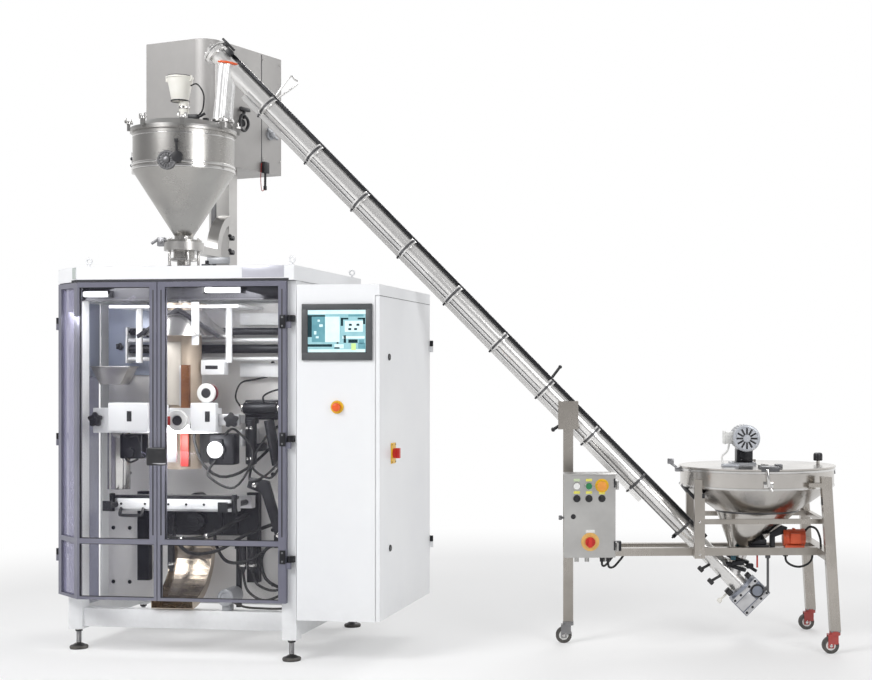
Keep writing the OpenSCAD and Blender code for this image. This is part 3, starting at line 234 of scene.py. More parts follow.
@dataclass(frozen=True)
class Finish:
    """One surface finish.

    Fields give its colour in its light and dark drift, its metal share, the span of its roughness and its grain.
    """

    name: str
    light: Colour
    dark: Colour
    metallic: float = 0.0
    roughness: tuple[float, float] = (0.35, 0.5)
    grain: Grain = Grain.PEEL
    bump: float = 0.05
    drift: float = 3.0
    dust: float = 0.25
    scratches: float = 0.0
    anisotropic: float = 0.0
    coat: float = 0.0
    specular: float = 0.5
    glow: float = 0.0

    def material(self) -> bpy.types.Material:
        """Build the node tree once, and give it again when it is asked for.

        Returns:
            The material of this finish.
        """
        if self.name in bpy.data.materials:
            return bpy.data.materials[self.name]
        mat, net, shader = new_material(self.name)
        net.give(shader, {"Metallic": self.metallic, "Anisotropic": self.anisotropic, "Coat Weight": self.coat,
                          "Coat Roughness": 0.12, "Specular IOR Level": self.specular})
        drift = net.add("Group", {"Light": (*self.light, 1.0), "Dark": (*self.dark, 1.0), "Scale": self.drift},
                        node_tree=tone_drift())
        dust = net.add("Group", {"Amount": self.dust}, node_tree=floor_dust())
        grain = net.add("Group", {"Stretch": STRETCH[self.grain]}, node_tree=surface_grain())
        rough = net.add("MapRange", {"To Min": self.roughness[0], "To Max": self.roughness[1]})
        blend = net.add("Math", {1: 0.5}, operation="MULTIPLY_ADD")
        half = net.add("Math", {1: 0.5}, operation="MULTIPLY")
        bump = net.add("Bump", {"Strength": self.bump, "Distance": 0.002})
        net.join([(drift, "Colour", dust, "Colour"), (dust, "Colour", shader, "Base Color"),
                  (grain, "Height", blend, 0), (drift, "Mask", half, 0), (half, 0, blend, 2),
                  (rough, "Result", shader, "Roughness"), (grain, "Height", bump, "Height"),
                  (bump, "Normal", shader, "Normal")])
        worn = blend
        if self.scratches > 0.0:
            lines = net.add("Group", node_tree=hairline_scratches())
            worn = net.add("Math", {1: self.scratches}, operation="MULTIPLY_ADD")
            net.join([(lines, "Mask", worn, 0), (blend, 0, worn, 2)])
        net.join([(worn, 0, rough, "Value")])
        if self.glow > 0.0:
            net.give(shader, {"Emission Strength": self.glow})
            net.join([(drift, "Colour", shader, "Emission Color")])
        return mat


@dataclass(frozen=True)
class PaneFinish:
    """Clear acrylic, tinted more strongly left of a given place; on the left door that denser veil is a painted
    reflection of the steeply seen chamfer pane.
    """

    name: str
    tint: Colour
    clear: float
    deep: float
    edge_x: float

    def material(self) -> bpy.types.Material:
        """Build the pane's node tree once.

        Returns:
            The material of the pane.
        """
        if self.name in bpy.data.materials:
            return bpy.data.materials[self.name]
        mat, net, shader = new_material(self.name)
        net.give(shader, {"Specular IOR Level": 0.5})
        shade = [c * 0.85 for c in self.tint]
        drift = net.add("Group", {"Light": (*self.tint, 1.0), "Dark": (*shade, 1.0)}, node_tree=tone_drift())
        lines = net.add("Group", node_tree=hairline_scratches())
        rough = net.add("MapRange", {"To Min": 0.04, "To Max": 0.12})
        coords = net.add("TexCoord")
        axes = net.add("SeparateXYZ")
        side = net.add("MapRange", {"From Min": self.edge_x, "From Max": self.edge_x - 0.01, "To Min": self.clear,
                                    "To Max": self.deep})
        facing = net.add("LayerWeight", {"Blend": 0.06})
        sheen = net.add("Math", {1: 0.35}, operation="MULTIPLY_ADD", use_clamp=True)
        net.join([(drift, "Colour", shader, "Base Color"), (lines, "Mask", rough, "Value"),
                  (rough, "Result", shader, "Roughness"), (coords, "Object", axes, 0), (axes, "X", side, "Value"),
                  (facing, "Fresnel", sheen, 0), (side, "Result", sheen, 2), (sheen, 0, shader, "Alpha")])
        return mat


# What most finishes of a kind have in common
moulded = partial(Finish, roughness=(0.28, 0.42), grain=Grain.MOULDED, bump=0.04, drift=14.0, dust=0.0)
lit = partial(Finish, roughness=(0.1, 0.2), drift=18.0, dust=0.0, glow=0.35)
brushed = partial(Finish, metallic=1.0, grain=Grain.BRUSH_Z, bump=0.03, dust=0.0, scratches=0.2)
cast = partial(Finish, roughness=(0.3, 0.46), grain=Grain.CAST, bump=0.06, drift=11.0, dust=0.1)


class Shop:
    """Finishes of the line, by what they are on."""

    WHITE = Finish("white powder coat", (0.84, 0.85, 0.86), (0.79, 0.80, 0.82), roughness=(0.30, 0.46), bump=0.03,
                   drift=1.3, dust=0.3, scratches=0.25)
    LINER = brushed("pale chamber plate", (0.84, 0.83, 0.82), (0.74, 0.73, 0.72), metallic=0.1, roughness=(0.28, 0.5),
                    drift=2.6, dust=0.05, scratches=0.3)
    # Dark finish for painted shade (under the roof, under the header, in the profile slots, on the cabinet's shadow
    # line) and for the real gap of the drive box door.
    CEILING = Finish("painted shade and dark gaps", (0.045, 0.045, 0.055), (0.025, 0.025, 0.03), roughness=(0.5, 0.7),
                     drift=5.0, dust=0.0)
    PROFILE = brushed("anodised door profile", (0.235, 0.235, 0.285), (0.17, 0.17, 0.22), metallic=0.5,
                      roughness=(0.28, 0.42), bump=0.04, drift=2.2, dust=0.1, scratches=0.25, anisotropic=0.3)
    BLACK = moulded("black moulded plastic", (0.022, 0.022, 0.025), (0.012, 0.012, 0.014), roughness=(0.32, 0.5),
                    bump=0.06, dust=0.1)
    BLACK_METAL = cast("blackened steel", (0.035, 0.036, 0.040), (0.018, 0.018, 0.021), metallic=0.65,
                       roughness=(0.3, 0.5), bump=0.05, drift=9.0, dust=0.15, scratches=0.4)
    RUBBER = Finish("black rubber", (0.020, 0.020, 0.021), (0.011, 0.011, 0.012), roughness=(0.6, 0.85),
                    grain=Grain.RUBBER, bump=0.09, drift=16.0, dust=0.5)
    STEEL = brushed("brushed stainless upright", (0.60, 0.59, 0.57), (0.47, 0.46, 0.45), roughness=(0.22, 0.40),
                    bump=0.05, drift=2.4, dust=0.1, scratches=0.25, anisotropic=0.45)
    STEEL_ROUND = brushed("spun stainless", (0.45, 0.44, 0.42), (0.33, 0.32, 0.31), roughness=(0.20, 0.36),
                          grain=Grain.BRUSH_X, bump=0.04, drift=2.0, dust=0.1, anisotropic=0.5)
    STEEL_BRIGHT = brushed("bright stainless", (0.70, 0.69, 0.675), (0.58, 0.57, 0.56), roughness=(0.12, 0.26),
                           bump=0.02, drift=4.0, dust=0.1)
    STEEL_WARM = brushed("warm chute steel", (0.62, 0.54, 0.45), (0.46, 0.39, 0.32), roughness=(0.16, 0.32),
                         grain=Grain.BRUSH_X, drift=6.0, dust=0.1, scratches=0.35)
    ALLOY = brushed("machined alloy", (0.66, 0.66, 0.67), (0.55, 0.55, 0.565), metallic=0.85, roughness=(0.26, 0.42),
                    grain=Grain.BRUSH_X, bump=0.04, drift=8.0, dust=0.1, scratches=0.3)
    TAN = brushed("film over the forming tube", (0.60, 0.50, 0.40), (0.50, 0.41, 0.32), metallic=0.35,
                  roughness=(0.25, 0.4), bump=0.02, drift=5.0, scratches=0.0)
    COPPER = brushed("heated sealing bar", (0.33, 0.14, 0.06), (0.20, 0.08, 0.04), metallic=0.7, roughness=(0.3, 0.5),
                     bump=0.05, drift=12.0, scratches=0.4)
    SEAL_RED = moulded("red sealing band", (0.50, 0.035, 0.02), (0.38, 0.02, 0.015), roughness=(0.35, 0.5))
    PALE_BLUE = brushed("pale blue guide plate", (0.47, 0.51, 0.61), (0.38, 0.42, 0.53), metallic=0.3,
                        roughness=(0.22, 0.4), bump=0.02)
    PANEL_BEIGE = brushed("beige front panel", (0.60, 0.56, 0.50), (0.50, 0.46, 0.41), metallic=0.3,
                          roughness=(0.25, 0.42), drift=5.0)
    MAROON = moulded("maroon wheel side", (0.17, 0.03, 0.035), (0.11, 0.02, 0.025), roughness=(0.4, 0.6), bump=0.05,
                     drift=15.0)
    BEZEL = moulded("panel bezel", (0.075, 0.08, 0.085), (0.055, 0.058, 0.062), roughness=(0.4, 0.55), bump=0.06,
                    drift=10.0)
    YELLOW = moulded("yellow plastic", (0.85, 0.52, 0.02), (0.74, 0.43, 0.015), roughness=(0.3, 0.45), drift=15.0)
    ORANGE_RED = moulded("orange red plastic", (0.86, 0.13, 0.02), (0.72, 0.09, 0.015), roughness=(0.26, 0.42),
                         drift=16.0)
    RED = moulded("red plastic", (0.66, 0.03, 0.02), (0.54, 0.02, 0.015), drift=16.0)
    VIBRATOR = cast("orange red casting", (0.70, 0.11, 0.035), (0.55, 0.075, 0.025), roughness=(0.35, 0.5), bump=0.12,
                    drift=12.0)
    WHITE_PLASTIC = moulded("white plastic", (0.80, 0.80, 0.78), (0.72, 0.72, 0.70), roughness=(0.3, 0.45))
    GREEN = moulded("green plastic", (0.02, 0.20, 0.07), (0.012, 0.14, 0.05))
    CREAM = moulded("cream housing", (0.86, 0.85, 0.80), (0.79, 0.77, 0.70), roughness=(0.34, 0.5), bump=0.05,
                    drift=9.0)
    BOX_GREY = brushed("brushed control box", (0.56, 0.555, 0.54), (0.45, 0.445, 0.435), metallic=0.9,
                       roughness=(0.3, 0.46), grain=Grain.BRUSH_X, bump=0.05, drift=4.0, dust=0.05, anisotropic=0.35)
    CASTING = cast("grey motor casting", (0.44, 0.45, 0.47), (0.33, 0.34, 0.36), metallic=0.55,
                   roughness=(0.36, 0.55), bump=0.14, dust=0.15)
    WHEEL_RED = cast("red caster fork", (0.42, 0.035, 0.03), (0.30, 0.025, 0.02), roughness=(0.35, 0.5), drift=14.0,
                     dust=0.25)
    FORK = cast("zinc plated fork", (0.30, 0.30, 0.31), (0.21, 0.21, 0.22), metallic=0.8, drift=12.0, dust=0.3)
    FILM = brushed("packing film", (0.80, 0.81, 0.83), (0.72, 0.73, 0.76), metallic=0.0, roughness=(0.16, 0.28),
                   grain=Grain.BRUSH_X, bump=0.05, drift=5.0, scratches=0.0, coat=0.3)
    LAMP = Finish("lamp cover", (0.92, 0.93, 0.95), (0.86, 0.87, 0.90), roughness=(0.3, 0.45), dust=0.0, glow=1.2)
    SCREEN = lit("lit screen", (0.30, 0.52, 0.56), (0.22, 0.42, 0.47), drift=14.0)
    SCREEN_PALE = lit("lit screen, pale field", (0.66, 0.82, 0.83), (0.54, 0.74, 0.78), drift=16.0)
    SCREEN_MID = lit("lit screen, blue field", (0.14, 0.33, 0.38), (0.10, 0.26, 0.31), glow=0.3)
    SCREEN_DEEP = lit("lit screen, dark field", (0.015, 0.05, 0.06), (0.010, 0.035, 0.045), glow=0.0)
    SCREEN_KEY = lit("lit screen, green key", (0.58, 0.76, 0.30), (0.48, 0.68, 0.25))
    STEEL_SHEET = brushed("drive box sheet", (0.44, 0.43, 0.42), (0.36, 0.35, 0.345), metallic=0.6,
                          roughness=(0.5, 0.64), bump=0.04, drift=1.6, scratches=0.15)
    STEEL_DARK = brushed("dull lid steel", (0.34, 0.335, 0.325), (0.26, 0.255, 0.25), metallic=0.95,
                         roughness=(0.28, 0.44), grain=Grain.BRUSH_X, bump=0.04, drift=5.0)
    # Pale, partly diffuse colour: besides the steel, it paints in the tube's reflection of the white surroundings.
    STEEL_TUBE = brushed("polished feeder tube", (0.86, 0.85, 0.835), (0.76, 0.75, 0.735), metallic=0.6,
                         roughness=(0.14, 0.24), bump=0.02)
    STEEL_BIN = brushed("spun bin steel", (0.60, 0.575, 0.545), (0.47, 0.45, 0.425), roughness=(0.14, 0.28),
                        grain=Grain.BRUSH_X, drift=2.0, anisotropic=0.4)
    STEEL_CART = brushed("cart tube steel", (0.46, 0.43, 0.395), (0.35, 0.325, 0.295), roughness=(0.22, 0.36),
                         dust=0.15, scratches=0.25)
    GUNMETAL = cast("gunmetal", (0.15, 0.15, 0.155), (0.10, 0.10, 0.105), metallic=0.7, bump=0.05, dust=0.05,
                    scratches=0.3)
    SLEEVE = brushed("pale filler sleeve", (0.82, 0.82, 0.81), (0.66, 0.66, 0.66), metallic=0.35,
                     roughness=(0.2, 0.36), bump=0.05, drift=10.0, scratches=0.0, coat=0.2)
    MOTOR_BLUE = cast("blue grey gear casing", (0.29, 0.31, 0.36), (0.21, 0.23, 0.28), metallic=0.4,
                      roughness=(0.34, 0.5), bump=0.1, drift=10.0)
    BLUE_GREY = cast("pale blue grey cover", (0.56, 0.58, 0.62), (0.46, 0.48, 0.52), metallic=0.3, drift=9.0,
                     dust=0.05)
    TEAL = moulded("teal handle", (0.02, 0.10, 0.14), (0.012, 0.07, 0.10), roughness=(0.3, 0.45))
    ORANGE = moulded("orange plastic", (0.80, 0.33, 0.06), (0.68, 0.26, 0.04), drift=16.0)
    AMBER = moulded("amber plastic", (0.78, 0.50, 0.16), (0.66, 0.40, 0.11), roughness=(0.3, 0.45), drift=15.0)
    TAG = moulded("yellow tag", (0.80, 0.76, 0.16), (0.70, 0.66, 0.12), roughness=(0.32, 0.46), bump=0.03, drift=18.0)
    TAG_GREEN = moulded("pale green tag", (0.56, 0.66, 0.44), (0.47, 0.57, 0.36), roughness=(0.32, 0.46), bump=0.03,
                        drift=18.0)
    # Grey green: painted shade on the header's chamfer face.
    CHAMFER_SHADE = Finish("painted shade on the header chamfer", (0.50, 0.54, 0.52), (0.43, 0.47, 0.45), roughness=(0.3, 0.45), bump=0.03,
                         drift=6.0, dust=0.0)
    # Lavender grey patch on the header front: a painted reflection.
    HEADER_REFLECTION = brushed("painted reflection on the header", (0.57, 0.57, 0.63), (0.50, 0.50, 0.56), metallic=0.3,
                          roughness=(0.28, 0.42), grain=Grain.BRUSH_X, drift=6.0, scratches=0.0)
    GLASS_FRONT = PaneFinish("clear door pane", (0.62, 0.61, 0.74), 0.015, 0.015, -9.0)
    # Left of the corner the veil is denser: a painted reflection of the chamfer pane, seen at a steep angle.
    GLASS_LEFT = PaneFinish("left door pane", (0.34, 0.33, 0.48), 0.015, 0.55, -1.7006)
    GLASS_SIDE = PaneFinish("side pane", (0.33, 0.34, 0.49), 0.74, 0.74, -9.0)


class Bench:
    """Modelling by hand operations, in one frame and in millimetres."""

    def __init__(self, seat: Matrix) -> None:
        """Take the frame in which the pieces are set out.

        Args:
            seat: Frame of the sub-assembly in the model's frame.
        """
        self.seat = seat

    @staticmethod
    def _clear() -> None:
        """Deselect everything, so that an operator acts on the new piece alone."""
        bpy.ops.object.select_all(action="DESELECT")

    @staticmethod
    def _pick(obj: bpy.types.Object) -> bpy.types.Object:
        """Make one object the only selected one, and the active one."""
        Bench._clear()
        obj.select_set(True)
        bpy.context.view_layer.objects.active = obj
        return obj

    @staticmethod
    def _edit(*steps: Callable) -> None:
        """Run steps in edit mode on the whole active mesh.

        Args:
            steps: What is done there, in order.
        """
        bpy.ops.object.mode_set(mode="EDIT")
        bpy.ops.mesh.select_all(action="SELECT")
        for step in steps:
            step()
        bpy.ops.object.mode_set(mode="OBJECT")

    @staticmethod
    def _from(verts: Sequence[Point], edges: Sequence, faces: Sequence) -> bpy.types.Object:
        """Lay out a first outline and make it the active object.

        Args:
            verts: Places of the points, in metres.
            edges: Point numbers of each edge.
            faces: Point numbers of each face.

        Returns:
            The outline.
        """
        mesh = bpy.data.meshes.new("outline")
        mesh.from_pydata(verts, edges, faces)
        obj = bpy.data.objects.new("outline", mesh)
        bpy.context.scene.collection.objects.link(obj)
        return Bench._pick(obj)

    @staticmethod
    def _round(obj: bpy.types.Object, width: float, segments: int = 2, angle: float = 35.0) -> None:
        """Round the sharp edges with an applied bevel.

        Args:
            obj: The piece.
            width: Width of the bevel in millimetres.
            segments: Steps across the bevel.
            angle: Edges sharper than this are rounded, in degrees.
        """
        if width <= 0.0:
            return
        mod = obj.modifiers.new("edges", "BEVEL")
        mod.width = width / 1000.0
        mod.segments = segments
        mod.limit_method = "ANGLE"
        mod.angle_limit = math.radians(angle)
        mod.use_clamp_overlap = True
        bpy.ops.object.modifier_apply(modifier=mod.name)

    def block(self, lo: Point, hi: Point, edge: float = 1.5, segments: int = 2) -> bpy.types.Object:
        """Rounded block between two corners.

        Args:
            lo: Lowest corner.
            hi: Highest corner.
            edge: Radius of its edges.
            segments: Steps across an edge.

        Returns:
            The block, still in the frame of the sub-assembly.
        """
        self._clear()
        a, b = Vector(lo) / 1000.0, Vector(hi) / 1000.0
        bpy.ops.mesh.primitive_cube_add(size=1.0, location=(a + b) / 2.0)
        obj = bpy.context.object
        obj.scale = b - a
        bpy.ops.object.transform_apply(location=True, rotation=True, scale=True)
        self._round(obj, edge, segments)
        return obj

    def drum(self, start: Point, end: Point, radius: float, edge: float = 1.0, sides: int = 32,
             end_radius: Optional[float] = None) -> bpy.types.Object:
        """Round or many sided bar between two points, with rounded rims.

        Args:
            start: Middle of the first end.
            end: Middle of the other end.
            radius: Radius at the first end.
            edge: Width of the rounded rim.
            sides: Number of sides.
            end_radius: Radius at the other end where it tapers.

        Returns:
            The bar.
        """
        self._clear()
        a, b = Vector(start) / 1000.0, Vector(end) / 1000.0
        turn = (b - a).to_track_quat("Z", "Y").to_euler()
        bpy.ops.mesh.primitive_cone_add(vertices=sides, radius1=radius / 1000.0,
                                        radius2=(radius if end_radius is None else end_radius) / 1000.0,
                                        depth=(b - a).length, location=(a + b) / 2.0, rotation=turn)
        obj = bpy.context.object
        bpy.ops.object.transform_apply(location=True, rotation=True, scale=True)
        self._round(obj, edge, 2, 50.0 if sides < 12 else 30.0)
        return obj

    def turned(self, profile: Sequence[tuple[float, float]], foot: Point, axis: Point = (0, 0, 1),
               steps: int = 36) -> bpy.types.Object:
        """Turn a profile round an axis.

        Args:
            profile: Radius and height of each point.
            foot: Where height 0 lies.
            axis: Direction of the axis.
            steps: Steps round the axis.

        Returns:
            The turned piece.
        """
        verts = [(r / 1000.0, 0.0, h / 1000.0) for r, h in profile]
        obj = self._from(verts, [(i, i + 1) for i in range(len(verts) - 1)], [])
        self._edit(lambda: bpy.ops.mesh.spin(steps=steps, angle=math.tau, center=(0, 0, 0), axis=(0, 0, 1)),
                   lambda: bpy.ops.mesh.select_all(action="SELECT"),
                   lambda: bpy.ops.mesh.remove_doubles(threshold=1e-6),
                   lambda: bpy.ops.mesh.normals_make_consistent(inside=False))
        obj.rotation_euler = Vector(axis).to_track_quat("Z", "Y").to_euler()
        obj.location = Vector(foot) / 1000.0
        bpy.ops.object.transform_apply(location=True, rotation=True, scale=True)
        return obj

    def slab(self, outline: Sequence[Point], push: Point, edge: float = 1.0) -> bpy.types.Object:
        """Push a flat outline out into a plate.

        Args:
            outline: Corners of the outline in order.
            push: How far and which way it is pushed out.
            edge: Width of the rounded edges.

        Returns:
            The plate.
        """
        obj = self._from([tuple(Vector(p) / 1000.0) for p in outline], [], [tuple(range(len(outline)))])
        move = {"value": tuple(Vector(push) / 1000.0)}
        self._edit(lambda: bpy.ops.mesh.extrude_region_move(TRANSFORM_OT_translate=move),
                   lambda: bpy.ops.mesh.select_all(action="SELECT"),
                   lambda: bpy.ops.mesh.normals_make_consistent(inside=False))
        self._round(obj, edge, 2, 30.0)
        return obj

    def wire(self, route: Sequence[Point], radius: float, smooth: int = 6, closed: bool = False,
             sides: int = 2) -> bpy.types.Object:
        """Sweep a round section along a smooth route.

        Args:
            route: Points that the middle line passes.
            radius: Radius of the section.
            smooth: Steps between two points, 1 for straight runs.
            closed: Whether the route runs back to its start.
            sides: Fineness of the section.

        Returns:
            The swept piece as a mesh.
        """
        pts = [Vector(p) / 1000.0 for p in route]
        n = len(pts)
        line: list[Vector] = []
        for i in range(n if closed else n - 1):
            if closed:
                a, b, c, d = pts[i - 1], pts[i], pts[(i + 1) % n], pts[(i + 2) % n]
            else:
                a, b, c, d = pts[max(i - 1, 0)], pts[i], pts[i + 1], pts[min(i + 2, n - 1)]
            for k in range(smooth):
                t = k / smooth
                line.append(0.5 * (2 * b + (c - a) * t + (2 * a - 5 * b + 4 * c - d) * t * t
                                   + (3 * b - a - 3 * c + d) * t * t * t))
        if not closed:
            line.append(pts[-1])
        curve = bpy.data.curves.new("route", "CURVE")
        curve.dimensions = "3D"
        curve.bevel_depth = radius / 1000.0
        curve.bevel_resolution = sides
        curve.use_fill_caps = not closed
        spline = curve.splines.new("POLY")
        spline.points.add(len(line) - 1)
        for at, p in zip(spline.points, line):
            at.co = (*p, 1.0)
        spline.use_cyclic_u = closed
        obj = bpy.data.objects.new("route", curve)
        bpy.context.scene.collection.objects.link(obj)
        self._pick(obj)
        bpy.ops.object.convert(target="MESH")
        return bpy.context.object

    def weld(self, parts: Iterable[bpy.types.Object]) -> bpy.types.Object:
        """Join modelled shapes into one piece.

        Args:
            parts: The shapes, of which the first one stays.

        Returns:
            The joined piece.
        """
        parts = list(parts)
        self._clear()
        for part in parts:
            part.select_set(True)
        bpy.context.view_layer.objects.active = parts[0]
        if len(parts) > 1:
            bpy.ops.object.join()
        return bpy.context.view_layer.objects.active

    def repeat(self, pattern: bpy.types.Object, places: Iterable[Matrix]) -> bpy.types.Object:
        """Copy a modelled shape to several places and join the copies.

        Args:
            pattern: The shape, modelled round its own origin in metres.
            places: Where each copy goes, in millimetres of the frame.

        Returns:
            One piece that holds every copy; the pattern is used up.
        """
        copies = []
        for place in places:
            copy = pattern.copy()
            copy.data = pattern.data.copy()
            bpy.context.scene.collection.objects.link(copy)
            copy.data.transform(place)
            copies.append(copy)
        bpy.data.objects.remove(pattern)
        return self.weld(copies)

    def put(self, made: Union[bpy.types.Object, list], name: str, finish, body: str = "root", slot: str = "",
            smooth: float = 32.0) -> bpy.types.Object:
        """Seat a finished piece in the model, dress it and let it ride its body.

        Args:
            made: The modelled piece, or the shapes that are joined into it.
            name: Name of the piece.
            finish: Finish that it gets.
            body: CAD body that it moves with.
            slot: The record's material slot, where it has one; not used.
            smooth: Angle below which the shading is smooth, in degrees.

        Returns:
            The finished piece at the origin.
        """
        obj = self._pick(self.weld(made) if isinstance(made, list) else made)
        obj.matrix_world = self.seat @ obj.matrix_world
        bpy.ops.object.transform_apply(location=True, rotation=True, scale=True)
        obj.name = name
        obj.data.name = name
        obj.data.materials.clear()
        obj.data.materials.append(finish.material())
        bpy.ops.object.shade_smooth_by_angle(angle=math.radians(smooth))
        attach(obj, body)
        log.info("%s rides %s", name, body)
        return obj


def spot(x: float, y: float, z: float, axis: Point = (0, 0, 1), roll: float = 0.0) -> Matrix:
    """Place of a copy: a point in millimetres and the direction its own upright takes.

    Args:
        x: First coordinate.
        y: Second coordinate.
        z: Third coordinate.
        axis: Direction of the copy's upright.
        roll: Turn about its own upright in degrees.

    Returns:
        The placing matrix in metres.
    """
    turn = Vector(axis).to_track_quat("Z", "Y").to_matrix().to_4x4()
    return Matrix.Translation(Vector((x, y, z)) / 1000.0) @ turn @ Matrix.Rotation(math.radians(roll), 4, "Z")


def turns(count: int) -> list[Matrix]:
    """Turns about Z that share a full circle evenly."""
    return [Matrix.Rotation(math.tau * i / count, 4, "Z") for i in range(count)]


def dress(finish, *nodes: str) -> None:
    """Give CAD nodes a finish and report it.

    Args:
        finish: Finish for all their slots.
        nodes: Names of the CAD nodes.
    """
    mat = finish.material()
    for node in nodes:
        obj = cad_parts[node]
        if not obj.material_slots:
            obj.data.materials.append(mat)
        for held in obj.material_slots:
            held.material = mat
        log.info("%s keeps its CAD shape, in %s", node, finish.name)


def hex_bolt(bench: Bench, across: float, head: float) -> bpy.types.Object:
    """Hexagon bolt head with a washer, modelled round the origin with its head upwards.

    Args:
        bench: Bench to model on.
        across: Radius of the head in millimetres.
        head: Height of the head.

    Returns:
        The bolt head.
    """
    washer = bench.drum((0, 0, 0), (0, 0, head * 0.25), across * 1.35, 0.3, 12)
    top = bench.drum((0, 0, head * 0.25), (0, 0, head), across, 0.4, 6)
    return bench.weld([washer, top])


def cap_screw(bench: Bench, radius: float, head: float) -> bpy.types.Object:
    """Round screw head with a sunk drive, modelled round the origin."""
    return bench.turned([(0, head * 0.45), (radius * 0.5, head * 0.45), (radius * 0.5, head), (radius * 0.85, head),
                         (radius, head * 0.8), (radius, 0), (0, 0)], (0, 0, 0), steps=10)


def star_knob(bench: Bench, radius: float, depth: float) -> bpy.types.Object:
    """Lobed clamping knob with its hub, modelled round the origin.

    Args:
        bench: Bench to model on.
        radius: Reach of the lobes.
        depth: Thickness of the knob.

    Returns:
        The knob, its hub towards -Z.
    """
    outline = []
    for i in range(40):
        a = math.tau * i / 40
        r = radius * (0.86 + 0.14 * math.cos(5 * a))
        outline.append((r * math.cos(a), r * math.sin(a), 0.0))
    lobes = bench.slab(outline, (0, 0, depth), depth * 0.22)
    hub = bench.turned([(0, -depth * 0.6), (radius * 0.42, -depth * 0.6), (radius * 0.5, 0), (0, 0)], (0, 0, 0),
                       steps=18)
    cap = bench.turned([(0, depth * 0.9), (radius * 0.36, depth), (radius * 0.3, depth * 1.12), (0, depth * 1.18)],
                       (0, 0, 0), steps=18)
    return bench.weld([lobes, hub, cap])


def ring(inner: float, outer: float, low: float, high: float, soft: float) -> list[tuple[float, float]]:
    """Closed profile of a turned ring with softened outer edges.

    Args:
        inner: Inner radius.
        outer: Outer radius.
        low: Height of its lower face.
        high: Height of its upper face.
        soft: Width of the outer chamfers.

    Returns:
        Radius and height of each point, the first one repeated at the end.
    """
    return [(inner, low), (outer - soft, low), (outer, low + soft), (outer, high - soft), (outer - soft, high),
            (inner, high), (inner, low)]


